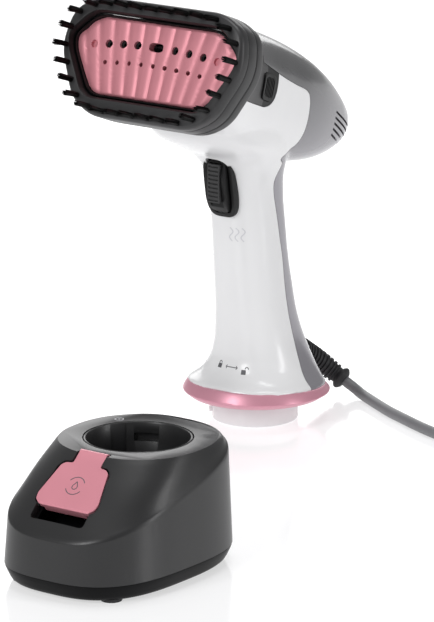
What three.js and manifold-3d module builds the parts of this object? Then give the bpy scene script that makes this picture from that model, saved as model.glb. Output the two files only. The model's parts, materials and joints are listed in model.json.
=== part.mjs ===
// Handheld garment steamer with its detachable water tank, in millimetres, +Z up, facing -Y.
// The tank stands on the floor and the handset stands behind it on its own docking spigot.

import * as THREE from 'three';
import { mergeVertices } from 'three/addons/utils/BufferGeometryUtils.js';
import Module from 'manifold-3d';

const wasm = await Module();
wasm.setup();

// ---------------------------------------------------------------- driving dimensions

const gap = 0.3; // clearance between touching pieces
const wall = 2.5; // moulded shell thickness

// Places on the floor, so that the middle of the whole footprint is the origin.
const tankPlace = [59.1, -127.9, 0]; // floor point under the docking socket's axis
const handsetPlace = [-45.9, 122.1, 0]; // floor point under the spigot's axis

// Tank, measured from the socket's axis
const tank = {
  height: 66, // level of the rim round the socket
  baseTop: 10, // joint between shell and base tray
  centreY: -18, // middle of the footprint
  halfX: 48.5,
  halfY: 61,
  topRadius: 39.5,
  topPower: 2.3,
  sidePower: 2.9,
  floorInset: 5.5, // how far the base tray draws in at the floor
};
const socket = { bore: 25, cup: 28.4, floor: 44, plate: 2.5 };
// Rubber feet: how far they stand out under the tray, and their places
const foot = { radius: 5.5, depth: 0.9, stand: 1.2, x: 28, front: -60, back: 22 };
const slope = { y: -33, z: 66.2, angle: 41 }; // filler face: top edge and fall below the level
const flap = { hinge: 3, strap: 17, width: 38, start: 11, end: 37.5, thick: 3 };
const well = { halfX: 16.4, start: 13.5, end: 46, depth: 17 };
const valve = { bore: 4.6, stem: 2.4, head: 6.4, springTurns: 3, springRadius: 4.4 };

// Handset, measured from the spigot's axis
const spigot = { radius: 24.6, wall: 2.6, plate: 4, flangeRadius: 31, flange: 16.8 };
const bayonetTurns = [30, 150, 270]; // degrees round the axis, on spigot and socket
const ring = { bottom: 13.8, radius: 42, frontTop: 24, backTop: 18.4 };
// Handle sections from the base ring up: height, middle, half width, half depth, rise towards -Y
const handleSections = [
  { z: 21.6, y: 1.5, halfX: 38.2, halfY: 38.2, rise: 0.074 },
  { z: 24.4, y: 3.5, halfX: 34.6, halfY: 35.6, rise: 0.06 },
  { z: 29, y: 5, halfX: 30.8, halfY: 32.4, rise: 0.04 },
  { z: 36, y: 5.2, halfX: 27.4, halfY: 29.2, rise: 0.02 },
  { z: 46, y: 3.8, halfX: 24.2, halfY: 26.4, rise: 0 },
  { z: 60, y: 1, halfX: 21.8, halfY: 24.2, rise: 0 },
  { z: 78, y: -1.8, halfX: 20.4, halfY: 23, rise: 0 },
  { z: 96, y: -4.6, halfX: 19.6, halfY: 22.2, rise: 0 },
  { z: 114, y: -6.6, halfX: 19.2, halfY: 21.8, rise: 0 },
  { z: 130, y: -8.8, halfX: 19.2, halfY: 22, rise: 0 },
  { z: 143, y: -10.4, halfX: 20.4, halfY: 22.6, rise: 0 },
  { z: 153, y: -12.5, halfX: 24, halfY: 24, rise: 0 },
  { z: 160, y: -17, halfX: 27.5, halfY: 27.5, rise: 0 },
  { z: 167, y: -26, halfX: 30.5, halfY: 34, rise: 0 },
  { z: 176, y: -35, halfX: 32, halfY: 41, rise: 0 },
  { z: 188, y: -38, halfX: 32, halfY: 43, rise: 0 },
];
const handlePower = 2.25;

// Head: its middle line runs through the face centre, with the face looking up by the tilt.
// Head pieces are drawn in the head's own frame: x to the side, y up the face, z out of the face.
const head = { y: -99.05, z: 221.94, tilt: 20 };
// Barrel sections from the rear tip to the nose: z, top, bottom, half width
const barrelSections = [
  { z: -194.7, top: 2.6, bottom: -3.8, halfX: 3 },
  { z: -192.2, top: 6, bottom: -7, halfX: 6.5 },
  { z: -185.2, top: 10.5, bottom: -12.6, halfX: 11.5 },
  { z: -174.2, top: 15.5, bottom: -19, halfX: 16.5 },
  { z: -159.2, top: 21.6, bottom: -25.4, halfX: 21.5 },
  { z: -139.2, top: 27.4, bottom: -30.4, halfX: 27 },
  { z: -116.2, top: 31.6, bottom: -33, halfX: 31.5 },
  { z: -89.2, top: 34.2, bottom: -34, halfX: 34.5 },
  { z: -62.2, top: 34.4, bottom: -33.8, halfX: 38 },
  { z: -44.2, top: 33, bottom: -32.4, halfX: 42 },
  { z: -28, top: 30.6, bottom: -30, halfX: 47 },
  { z: -18, top: 28, bottom: -27.6, halfX: 49.4 },
  { z: -9, top: 24.6, bottom: -23.8, halfX: 50.6 },
];
const barrelPower = 2.5;
// Outlines of plate and brush frame: corner points on the right side, from the top down
const plateCorners = [[41, 22.5], [54, 10], [52.4, 2.6], [38, -20.2]];
const frameCorners = [[42, 33], [57, 24.8], [61.5, 3.6], [47.5, -24.8], [33, -33]];
const plate = { front: -3, back: -8, rowY: 9.5, holePitch: 9.6, smallRowY: -0.8, smallPitch: 8 };
const brush = {
  front: 1.5, lip: -5, back: -22, backScale: [0.965, 0.985], bristle: 12.5, tuft: 1.5, tufts: 29,
};
const vents = {
  count: 5, width: 1.3, length: 32, spacing: 3.3, top: 1, z: -170, fall: 8, spine: 14,
};
const surroundWidth = 1.5; // black band round the soleplate
const latch = { inner: 34.6, proud: 0.8, y: 2.6, z: -60, length: 15, height: 15 };
const trigger = {
  bottom: 126, top: 157.5, halfX: 7, pinY: -30.8, pinZ: 152.5, proud: 6.5, rim: 2.8,
};
const lockSlider = { halfX: 4, depth: 4.4, y: -38.3, height: 22, travel: 4.5 };

// Cord
const cord = { diameter: 6.2, coilRadius: 35, columns: 3, layers: 3 };
const coilCentre = [162, 62]; // from the spigot's axis
const cordRoute = [
  [18.5, 64.5, 8.7], [24.6, 64.9, 5.4], [32, 62, 3.5], [40.5, 57, 3.2], [51, 50.4, 3.2],
  [64, 42.6, 3.2], [78, 35.6, 3.2], [92, 28.8, 3.2], [107, 22.4, 3.2], [122, 18, 3.2],
  [138, 16, 3.2], [152, 17.5, 3.2], [164, 21.5, 3.2], [174, 26.2, 3.2],
];
const tailRoute = [
  [127.2, 57, 21], [128.8, 50, 21], [131.9, 43.6, 21.5], [136.8, 37, 23.2], [143, 32.2, 25.6],
  [150, 29.6, 27],
];

// ---------------------------------------------------------------- shape helpers

const degrees = THREE.MathUtils.degToRad;

// A closed geometry as a solid that can be joined and cut.
function solidOf(geometry) {
  const bare = geometry.clone();
  bare.deleteAttribute('normal');
  bare.deleteAttribute('uv');
  const merged = mergeVertices(bare, 1e-4);
  return new wasm.Manifold(new wasm.Mesh({
    numProp: 3,
    vertProperties: new Float32Array(merged.attributes.position.array),
    triVerts: new Uint32Array(merged.index.array),
  }));
}

function geometryOf(solid) {
  const mesh = solid.getMesh();
  const geometry = new THREE.BufferGeometry();
  geometry.setAttribute('position', new THREE.BufferAttribute(mesh.vertProperties, 3));
  geometry.setIndex(new THREE.BufferAttribute(mesh.triVerts, 1));
  return geometry.toNonIndexed();
}

const joined = (...solids) => solids.reduce((all, next) => all.add(next));
const cutBy = (solid, ...tools) => tools.reduce((left, tool) => left.subtract(tool), solid);

function placed(geometry, position = [0, 0, 0], rotation = [0, 0, 0]) {
  const euler = new THREE.Euler(...rotation.map(degrees));
  const matrix = new THREE.Matrix4().makeRotationFromEuler(euler).setPosition(...position);
  return geometry.clone().applyMatrix4(matrix);
}

// Skin over rings of equal point count, counter-clockwise seen from the last ring, closed by fans.
function loft(rings) {
  const count = rings[0].length;
  const points = rings.flat();
  const index = [];
  for (let level = 0; level < rings.length - 1; level += 1) {
    for (let i = 0; i < count; i += 1) {
      const next = (i + 1) % count;
      const low = level * count;
      const high = low + count;
      index.push(low + i, low + next, high + next, low + i, high + next, high + i);
    }
  }
  const middle = (ring) => ring.reduce((sum, p) => sum.add(p), new THREE.Vector3())
    .divideScalar(ring.length);
  const firstMiddle = points.push(middle(rings[0])) - 1;
  const lastMiddle = points.push(middle(rings[rings.length - 1])) - 1;
  const lastRing = (rings.length - 1) * count;
  for (let i = 0; i < count; i += 1) {
    const next = (i + 1) % count;
    index.push(firstMiddle, next, i, lastMiddle, lastRing + i, lastRing + next);
  }
  const geometry = new THREE.BufferGeometry().setFromPoints(points);
  geometry.setIndex(index);
  return geometry;
}

// Points of a rounded rectangle-like curve; power 2 is an ellipse, more is squarer.
function superellipse(halfX, halfY, power, count = 32) {
  const bend = (value) => Math.sign(value) * Math.abs(value) ** (2 / power);
  return Array.from({ length: count }, (_, i) => {
    const turn = (i / count) * 2 * Math.PI;
    return [halfX * bend(Math.cos(turn)), halfY * bend(Math.sin(turn))];
  });
}

// Turned piece from [radius, height] points, which start and end on the axis or close up.
function turned(profile, segments = 20) {
  const points = profile.map(([radius, z]) => new THREE.Vector2(radius, z));
  return placed(new THREE.LatheGeometry(points, segments), [0, 0, 0], [90, 0, 0]);
}

function disc(radius, bottom, top, segments = 14) {
  return turned([[0, bottom], [radius, bottom], [radius, top], [0, top]], segments);
}

function tubeRing(inner, outer, bottom, top, segments = 18) {
  return turned([[inner, bottom], [outer, bottom], [outer, top], [inner, top], [inner, bottom]],
    segments);
}

function box(sizeX, sizeY, sizeZ, centre) {
  return placed(new THREE.BoxGeometry(sizeX, sizeY, sizeZ), centre);
}

function shapeOf(points) {
  return new THREE.Shape(points.map(([x, y]) => new THREE.Vector2(x, y)));
}

function prism(points, bottom, top) {
  const options = { depth: top - bottom, bevelEnabled: false };
  return placed(new THREE.ExtrudeGeometry(shapeOf(points), options), [0, 0, bottom]);
}

// A side view outline, given as [y, z] points, as a slab across the whole width.
function sideSlab(points, halfWidth = 90) {
  const geometry = prism(points, -halfWidth, halfWidth);
  const across = new THREE.Matrix4().makeBasis(
    new THREE.Vector3(0, 1, 0), new THREE.Vector3(0, 0, 1), new THREE.Vector3(1, 0, 0));
  return geometry.applyMatrix4(across);
}

// Round bar along a smooth curve through the points.
function bar(points, radius, steps, sides = 10) {
  const curve = new THREE.CatmullRomCurve3(points.map((p) => new THREE.Vector3(...p)),
    false, 'centripetal');
  const section = new THREE.Shape(superellipse(radius, radius, 2, sides)
    .map(([x, y]) => new THREE.Vector2(x, y)));
  return new THREE.ExtrudeGeometry(section,
    { steps, bevelEnabled: false, extrudePath: curve });
}

// A symmetric outline from the corner points of its right side, each corner rounded.
function roundedOutline(rightCorners, radius, grow = 0, steps = 3) {
  const leftCorners = rightCorners.map(([x, y]) => [-x, y]).reverse();
  const corners = [...rightCorners, ...leftCorners].reverse()
    .map(([x, y]) => new THREE.Vector2(x, y));
  const count = corners.length;
  const outline = [];
  corners.forEach((corner, i) => {
    const before = corners[(i + count - 1) % count].clone().sub(corner);
    const after = corners[(i + 1) % count].clone().sub(corner);
    const reach = Math.min(radius, before.length() * 0.45, after.length() * 0.45);
    const start = corner.clone().addScaledVector(before.normalize(), reach);
    const end = corner.clone().addScaledVector(after.normalize(), reach);
    const curve = new THREE.QuadraticBezierCurve(start, corner, end);
    outline.push(...curve.getPoints(steps));
  });
  const bounds = new THREE.Box2().setFromPoints(outline);
  const middleY = (bounds.max.y + bounds.min.y) / 2;
  const halfX = bounds.max.x;
  const halfY = bounds.max.y - middleY;
  return outline.map((p) => [
    (p.x * (halfX + grow)) / halfX,
    middleY + ((p.y - middleY) * (halfY + grow)) / halfY,
  ]);
}

const ringAt = (outline, z, scaleX = 1, scaleY = 1) => outline
  .map(([x, y]) => new THREE.Vector3(x * scaleX, y * scaleY, z));

// ---------------------------------------------------------------- scene graph

const steamer = new THREE.Group();
const tankGroup = new THREE.Group();
tankGroup.position.set(...tankPlace);
const handsetGroup = new THREE.Group();
handsetGroup.position.set(...handsetPlace);
const headGroup = new THREE.Group();
headGroup.position.set(0, head.y, head.z);
headGroup.rotation.x = degrees(90 - head.tilt);
handsetGroup.add(headGroup);
steamer.add(tankGroup, handsetGroup);

const material = (color, roughness, metalness = 0) => new THREE.MeshStandardMaterial({
  color, roughness, metalness, side: THREE.FrontSide,
});
const finish = {
  tankGrey: material(0x47474a, 0.42, 0.25),
  baseBlack: material(0x151516, 0.5),
  satinPink: material(0xe58a9b, 0.38, 0.3),
  plateMetal: material(0xe08f9a, 0.35, 0.6),
  glossWhite: material(0xf2f2f4, 0.18),
  coverGrey: material(0x6f7076, 0.3, 0.45),
  frameGrey: material(0x55565a, 0.4, 0.2),
  softBlack: material(0x18181a, 0.65),
  rubber: material(0x202022, 0.8),
  innerPlastic: material(0xc9c9c4, 0.6),
  silicone: material(0xb9553f, 0.7),
  castMetal: material(0xa8aaad, 0.5, 0.9),
  steel: material(0xc4c6ca, 0.3, 1),
  boardGreen: material(0x2f6b45, 0.6),
};

function piece(name, geometry, finishOf, group = handsetGroup) {
  const mesh = new THREE.Mesh(geometry, finishOf);
  mesh.name = name;
  group.add(mesh);
}

const pieceOf = (name, solid, finishOf, group) => piece(name, geometryOf(solid), finishOf, group);

// ---------------------------------------------------------------- tank

// One level of the tank's skin. part 0 is the wall's foot, 1 the shoulder line, 2 the top rim.
function tankRing(part, inset) {
  const count = inset > 0 ? 24 : 36;
  const base = superellipse(tank.halfX - inset, tank.halfY - inset, tank.sidePower, count);
  const rim = superellipse(tank.topRadius - inset, tank.topRadius - inset, tank.topPower, count);
  return base.map(([x, y], i) => {
    const backness = (y + tank.halfY) / (2 * tank.halfY); // 0 at the front, 1 at the back
    const footY = tank.centreY + y;
    const footX = x * (0.93 + 0.07 * backness);
    const shoulder = 31 + 33 * backness ** 0.9 - inset;
    if (part <= 1) {
      const lean = 1 - 0.035 * part;
      const z = tank.baseTop + (shoulder - tank.baseTop) * part;
      return new THREE.Vector3(footX * lean, tank.centreY + y * lean, z);
    }
    const share = part - 1; // 0 at the shoulder, 1 at the rim
    const startX = footX * 0.955;
    const startY = tank.centreY + y * 0.955;
    const swell = 1.6 * Math.sin(Math.PI * share);
    return new THREE.Vector3(
      startX + (rim[i][0] - startX) * share,
      startY + (rim[i][1] - startY) * share,
      shoulder + (tank.height - inset - shoulder) * share + swell,
    );
  });
}

function tankSkin(inset) {
  const levels = inset > 0 ? [0, 1, 1.5, 2] : [0, 0.9, 1, 1.1, 1.5, 2];
  return loft(levels.map((part) => tankRing(part, inset)));
}

// The filler face's own frame: x across, y down the slope, z out of it.
function onSlope(geometry) {
  const fall = degrees(slope.angle);
  const down = new THREE.Vector3(0, -Math.cos(fall), -Math.sin(fall));
  const out = new THREE.Vector3(0, -Math.sin(fall), Math.cos(fall));
  const side = new THREE.Vector3().crossVectors(down, out);
  const frame = new THREE.Matrix4().makeBasis(side, down, out).setPosition(0, slope.y, slope.z);
  return geometry.clone().applyMatrix4(frame);
}

// The wall's outline at its foot, drawn in and set at a level
const footprint = (inset, z) => tankRing(0, inset).map((p) => new THREE.Vector3(p.x, p.y, z));

function makeTankShell() {
  const outer = solidOf(tankSkin(0));
  const openBelow = loft([footprint(wall, tank.baseTop - 1),
    footprint(wall + gap, tank.baseTop + 3)]);
  const hollow = joined(solidOf(tankSkin(wall)), solidOf(openBelow));
  const socketCut = solidOf(disc(socket.cup + gap, socket.floor - 4, tank.height + 5, 48));
  const wellCut = solidOf(onSlope(box(2 * well.halfX + 2 * gap, well.end - well.start + 2 * gap,
    well.depth + 12, [0, (well.start + well.end) / 2, 6 - well.depth / 2])));
  const flapSeat = solidOf(onSlope(prism(flapOutline(0.6), -0.2, 12)));
  const hollowSolid = cutBy(hollow,
    solidOf(disc(socket.cup + gap + wall, socket.floor - 1, tank.height + 5, 36)),
    solidOf(onSlope(box(2 * well.halfX + 5, well.end - well.start + 5, well.depth + 20,
      [0, (well.start + well.end) / 2, 2.5]))),
    solidOf(onSlope(prism(flapOutline(3), -2.6, 12))));
  const shell = cutBy(outer, hollowSolid, socketCut, wellCut, flapSeat);
  pieceOf('tank_shell', shell, finish.tankGrey, tankGroup);
}

function makeBaseTray() {
  const skin = loft([footprint(tank.floorInset, foot.stand),
    footprint(tank.floorInset / 2, foot.stand + wall), footprint(0.2, tank.baseTop - gap)]);
  const hollow = loft([footprint(tank.floorInset + wall, foot.stand + wall),
    footprint(wall + 1.7, tank.baseTop + 1)]);
  const pads = footPlaces().map(([x, y]) => solidOf(placed(
    disc(foot.radius + gap, foot.stand - 1, foot.stand + 1.2), [x, y, 0])));
  const tray = cutBy(solidOf(skin), solidOf(hollow));
  const thick = joined(tray, ...footPlaces().map(([x, y]) => solidOf(placed(
    disc(foot.radius + 2, foot.stand + 1.6, foot.stand + 4.5), [x, y, 0]))));
  pieceOf('tank_base_tray', cutBy(thick, ...pads), finish.baseBlack, tankGroup);
}

function footPlaces() {
  return [[-foot.x, foot.front], [foot.x, foot.front], [-foot.x, foot.back], [foot.x, foot.back]];
}

function makeFeet() {
  footPlaces().forEach(([x, y], i) => {
    piece(`foot_pad_${i + 1}`, placed(disc(foot.radius, 0, foot.stand + foot.depth), [x, y, 0]),
      finish.rubber, tankGroup);
  });
}

function makeDockingSocket() {
  const { bore, cup, floor, plate: thick } = socket;
  const top = tank.height - 0.2;
  const bowl = turned([[valve.bore, floor], [cup, floor], [cup, top], [cup - 1.2, top + 0.8],
    [bore + 1.4, top + 0.8], [bore, top - 0.6], [bore, floor + thick], [12, floor + thick],
    [12, floor + thick + 3], [valve.bore, floor + thick + 3], [valve.bore, floor]], 32);
  const bayonets = bayonetTurns.map((turn) => {
    const drop = solidOf(placed(box(2.4, 9, 30, [bore + 0.6, 0, top - 13]), [0, 0, 0],
      [0, 0, turn]));
    const run = solidOf(placed(box(2.4, 16, 5, [bore + 0.2, 6, top - 16]), [0, 0, 0],
      [0, 0, turn]));
    return joined(drop, run);
  });
  pieceOf('docking_socket', cutBy(solidOf(bowl), ...bayonets), finish.tankGrey, tankGroup);
}

function makeOutletValve() {
  const seat = socket.floor;
  piece('valve_poppet', turned([[0, seat - 5], [valve.head, seat - 5], [valve.head, seat - 2.2],
    [valve.stem, seat - 2.2], [valve.stem, seat + 9], [0, seat + 10]], 20),
  finish.innerPlastic, tankGroup);
  piece('valve_seal', tubeRing(valve.stem + gap, valve.head - 0.4, seat - 1.9, seat - gap, 20),
    finish.silicone, tankGroup);
  const steps = 30;
  const helix = Array.from({ length: steps + 1 }, (_, i) => {
    const turn = (i / steps) * valve.springTurns * 2 * Math.PI;
    return [valve.springRadius * Math.cos(turn), valve.springRadius * Math.sin(turn),
      seat - 17.2 + i * 0.38];
  });
  piece('valve_spring', bar(helix, 0.5, steps, 5), finish.steel, tankGroup);
  const cage = cutBy(solidOf(disc(9, seat - 21, seat - 18.3, 24)), solidOf(disc(3, seat - 22,
    seat - 17, 16)));
  const legs = [60, 180, 300].map((turn) => solidOf(placed(
    box(2.4, 5, 19.8, [8.2, 0, seat - 11.1]), [0, 0, 0], [0, 0, turn])));
  pieceOf('valve_cage', joined(cage, ...legs), finish.innerPlastic, tankGroup);
}

function makeFillerWell() {
  const length = well.end - well.start;
  const middle = (well.start + well.end) / 2;
  const tray = solidOf(onSlope(box(2 * well.halfX, length, well.depth - 2,
    [0, middle, -well.depth / 2 - 1])));
  const inside = solidOf(onSlope(box(2 * well.halfX - 3, length - 3, well.depth - 2,
    [0, middle, -well.depth / 2 + 0.6])));
  const mouth = solidOf(onSlope(box(20, 14, 12, [0, 25, -well.depth])));
  const ledge = solidOf(onSlope(box(60, 60, 20, [0, flap.end - 29, 9.4])));
  pieceOf('filler_well', cutBy(tray, inside, mouth, ledge), finish.baseBlack,
    tankGroup);
}

// Outline of the flap and its strap on the filler face, grown all round
function flapOutline(grow) {
  const half = flap.width / 2 + grow;
  const strap = flap.strap / 2 + grow;
  const top = flap.hinge - 1.5 - grow;
  const end = flap.end + grow;
  const start = flap.start - grow;
  const right = [[strap, top], [strap, start], [half - 6.4, start + 0.4], [half - 4.2, start + 2.2],
    [half, end - 6], [half - 0.6, end - 2.4], [half - 3.4, end]];
  return [...right, ...right.map(([x, y]) => [-x, y]).reverse()];
}

function makeFillerFlap() {
  const leaf = cutBy(solidOf(onSlope(prism(flapOutline(0), 0.1, flap.thick))),
    solidOf(onSlope(box(30, 2 * flap.hinge, 12, [0, 0, 0]))));
  const barrel = solidOf(onSlope(placed(new THREE.CylinderGeometry(1.7, 1.7, flap.strap, 14),
    [0, flap.hinge + 0.4, 1.5], [0, 0, 90])));
  const lip = solidOf(onSlope(box(2 * well.halfX - 6, 2.4, 4, [0, flap.end - 1.2, -1])));
  const pinHole = solidOf(onSlope(placed(new THREE.CylinderGeometry(1.05, 1.05, 40, 12),
    [0, flap.hinge + 0.4, 1.5], [0, 0, 90])));
  pieceOf('filler_flap', cutBy(joined(leaf, barrel, lip), pinHole), finish.satinPink, tankGroup);
  piece('flap_hinge_pin', onSlope(placed(new THREE.CylinderGeometry(0.8, 0.8, flap.strap + 0.2, 10),
    [0, flap.hinge + 0.4, 1.5], [0, 0, 90])), finish.steel, tankGroup);
  piece('flap_gasket', onSlope(box(22, 16, 4.6, [0, 25, -2.5])), finish.silicone,
    tankGroup);
}

function makeBaseScrews() {
  [[-30, -30], [30, -30], [0, 30]].forEach(([x, y], i) => {
    piece(`base_screw_${i + 1}`, placed(turned([[0, 4.2], [3, 4.2], [3, 5.6], [1.4, 6.2],
      [1.4, 14], [0, 15]], 12), [x, y, 0]), finish.steel, tankGroup);
  });
}

// ---------------------------------------------------------------- handset casing

const headToSide = (z, y) => {
  const tilt = degrees(head.tilt);
  return [
    head.y - z * Math.cos(tilt) + y * Math.sin(tilt),
    head.z + z * Math.sin(tilt) + y * Math.cos(tilt),
  ];
};

const headMatrix = new THREE.Matrix4().makeRotationX(degrees(90 - head.tilt))
  .setPosition(0, head.y, head.z);
const fromHead = (geometry) => geometry.clone().applyMatrix4(headMatrix);

// The whole outside of handle and head, drawn in by the inset. An inset body runs on past the
// base and the nose, so that it leaves them open.
function bodySolid(inset) {
  const count = inset > 0 ? 20 : 32;
  const handleRings = handleSections.map((section) => superellipse(
    section.halfX - inset, section.halfY - inset, handlePower, count,
  ).map(([x, y]) => new THREE.Vector3(x, y + section.y, section.z - section.rise * y)));
  const barrelRings = barrelSections.map((section) => {
    const half = (section.top - section.bottom) / 2 - inset;
    const middle = (section.top + section.bottom) / 2;
    const outline = superellipse(Math.max(section.halfX - inset, 0.8), Math.max(half, 0.8),
      barrelPower, count);
    return outline.map(([x, y]) => new THREE.Vector3(x, y + middle, section.z + inset * 0.6));
  });
  if (inset > 0) {
    handleRings.unshift(handleRings[0].map((p) => p.clone().add(new THREE.Vector3(0, 0, -6))));
    const nose = barrelRings[barrelRings.length - 1];
    barrelRings.push(nose.map((p) => p.clone().add(new THREE.Vector3(0, 0, 6))));
  }
  return joined(solidOf(loft(handleRings)), solidOf(fromHead(loft(barrelRings))));
}

// Rear cover: everything behind the side seam, which drops from the head down the handle.
const rearOutline = [
  headToSide(-52, 90), headToSide(-52, 15), headToSide(-66, 13), headToSide(-80, 11),
  headToSide(-107.2, 8.4), headToSide(-112.2, 4), headToSide(-114.8, -7), headToSide(-115.6, -19),
  headToSide(-112.7, -26), headToSide(-105.2, -31.5), [-7, 152], [-10, 143], [-9, 134],
  [-6, 123], [-3, 108], [-0.6, 96], [0.8, 78], [2.4, 66], [4.3, 53], [5, 45], [4.6, 34],
  [2, 20], [1, 5], [160, 5], [160, 340],
].reverse();
// Head housing: the dark sleeve behind the brush frame, with a round-cornered tab down each side
const housingOutline = [
  headToSide(20, 90), headToSide(20, -9.6), headToSide(-60, -8.4), headToSide(-66, -6.6),
  headToSide(-70, -3), headToSide(-71.7, 2), headToSide(-71.7, 90),
];

function region(outline, growth = 0) {
  const base = solidOf(sideSlab(outline));
  if (growth === 0) {
    return base;
  }
  const shifts = [[1, 0], [-1, 0], [0, 1], [0, -1]];
  return joined(base, ...shifts.map(([y, z]) => base.translate([0, y * growth, z * growth])));
}

// Fine slots along both sides of the barrel's rear, falling towards its tip
function ventSlots() {
  const { count, width, length, spacing, top, z, fall, spine } = vents;
  const middle = solidOf(fromHead(box(spine, 80, 80, [0, 0, z])));
  return Array.from({ length: count }, (_, i) => solidOf(fromHead(placed(
    box(120, width, length, [0, 0, 0]), [0, top - i * spacing, z], [-fall, 0, 0],
  ))).subtract(middle));
}

function makeCasing() {
  const outside = bodySolid(0);
  const shell = outside.subtract(bodySolid(wall));
  const rearGrown = region(rearOutline, gap);
  const housingGrown = region(housingOutline, gap);

  const front = cutBy(shell, rearGrown, housingGrown, triggerColumn(0.9));
  pieceOf('front_casing', front, finish.glossWhite);

  const boreHoles = screwPlaces.map(({ y, z, turn }) => solidOf(placed(
    disc(3.4, -12, 12, 16), [0, y, z], [turn, 0, 0])));
  const reliefHole = solidOf(placed(disc(reliefRoot.radius + gap, -14, 14, 20),
    reliefRoot.place, [reliefRoot.turn, 0, 0]));
  const rear = cutBy(shell.intersect(region(rearOutline)), ...ventSlots(), ...boreHoles,
    reliefHole);
  pieceOf('rear_cover', rear, finish.coverGrey);

  const housing = cutBy(shell.intersect(region(housingOutline)), rearGrown, ...latchWindows());
  pieceOf('head_housing', housing, finish.frameGrey);
}

// ---------------------------------------------------------------- head

// Windows in the head housing that the latch buttons stand in
function latchWindows() {
  const { y, z, length, height } = latch;
  return [-1, 1].map((side) => solidOf(fromHead(box(20, height + 2 * gap, length + 2 * gap,
    [side * 41, y, z]))));
}

function makeLatchButtons() {
  const { inner, proud, y, z, length, height } = latch;
  const reach = 10;
  const skin = bodySolid(-proud);
  [['left', -1], ['right', 1]].forEach(([name, side]) => {
    const block = solidOf(fromHead(box(reach, height, length,
      [side * (inner + reach / 2), y, z])));
    pieceOf(`latch_button_${name}`, block.intersect(skin), finish.softBlack);
  });
}

function plateOutline(grow) {
  return roundedOutline(plateCorners, 7, grow);
}

function makeSoleplate() {
  const { front, back, rowY, holePitch, smallRowY, smallPitch } = plate;
  const skin = loft([ringAt(plateOutline(-0.4), back), ringAt(plateOutline(0), back + 1),
    ringAt(plateOutline(0), front - 1.2), ringAt(plateOutline(-1.2), front)]);
  const arch = (x) => -0.0016 * x * x;
  const hole = (x, y, radius) => solidOf(placed(disc(radius, back - 2, front + 2, 8), [x, y, 0]));
  const big = [-3, -2, -1, 1, 2, 3].map((i) => {
    const x = i * holePitch + Math.sign(i) * 3;
    return hole(x, rowY + arch(x), 2.3);
  });
  const small = [-4, -3, -2, -1, 0, 1, 2, 3, 4].map((i) => {
    const x = i * smallPitch;
    return hole(x, smallRowY + arch(x), 1.35);
  });
  const slot = solidOf(box(8, 4.4, 12, [0, rowY, -5]));
  pieceOf('soleplate', cutBy(solidOf(skin), ...big, ...small, slot), finish.plateMetal, headGroup);
  const surround = solidOf(loft([ringAt(plateOutline(surroundWidth), back - 0.6),
    ringAt(plateOutline(surroundWidth), front - 1),
    ringAt(plateOutline(surroundWidth - 0.6), front + 0.6)]));
  pieceOf('plate_surround', cutBy(surround, solidOf(prism(plateOutline(gap), back - 2, front + 2))),
    finish.softBlack, headGroup);
}

function makeSteamChamber() {
  const outline = roundedOutline([[32, 19], [40, 9], [40, -9], [30, -19]], 5);
  const block = solidOf(prism(outline, -29, -10.4));
  const cavity = solidOf(prism(roundedOutline([[27, 14], [34, 7], [34, -7], [25, -14]], 4),
    -16, -9));
  const bolt = solidOf(placed(disc(4, -34, -28), [0, 12, 0]));
  const inletBore = solidOf(placed(disc(1.6, -40, -15), [0, 12, 0]));
  pieceOf('steam_chamber', cutBy(joined(block, bolt), cavity, inletBore), finish.castMetal,
    headGroup);
  const gasketOutline = roundedOutline([[30, 17.6], [41, 8], [41, -7], [29, -17.6]], 5);
  const gasket = cutBy(solidOf(prism(gasketOutline, -10.1, -8.3)), solidOf(prism(
    roundedOutline([[28, 15], [36, 7], [36, -7], [26, -15]], 4), -12, -7)));
  pieceOf('chamber_gasket', gasket, finish.silicone, headGroup);
  piece('heating_element', bar([[-14, 4, -44], [-14, 4, -36.6], [-20, 3, -33.2], [-29, 0, -32.8],
    [-29, -9, -32.8], [-20, -13, -32.8], [0, -13, -32.8], [20, -13, -32.8], [29, -9, -32.8],
    [29, 0, -32.8], [20, 3, -33.2], [14, 4, -36.6], [14, 4, -44]], 3.1, 26, 6),
  finish.steel, headGroup);
  piece('thermostat', placed(turned([[0, -36.5], [6, -36.5], [6, -33], [8, -33], [8, -29.4],
    [0, -29.4]], 20), [0, -2, 0]), finish.innerPlastic, headGroup);
  piece('thermal_fuse', placed(new THREE.CapsuleGeometry(2, 9, 3, 10), [-24, 12, -31.6],
    [0, 0, 90]), finish.steel, headGroup);
}

function frameOutline(grow) {
  return roundedOutline(frameCorners, 14, grow, 3);
}

// Points spaced evenly along the frame's band, where the bristle tufts stand
function tuftPlaces(count) {
  const outline = frameOutline(-3.4);
  const path = new THREE.CurvePath();
  outline.forEach(([x, y], i) => {
    const [nextX, nextY] = outline[(i + 1) % outline.length];
    path.add(new THREE.LineCurve(new THREE.Vector2(x, y), new THREE.Vector2(nextX, nextY)));
  });
  return path.getSpacedPoints(count).slice(0, count).map((p) => [p.x, p.y]);
}

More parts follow.
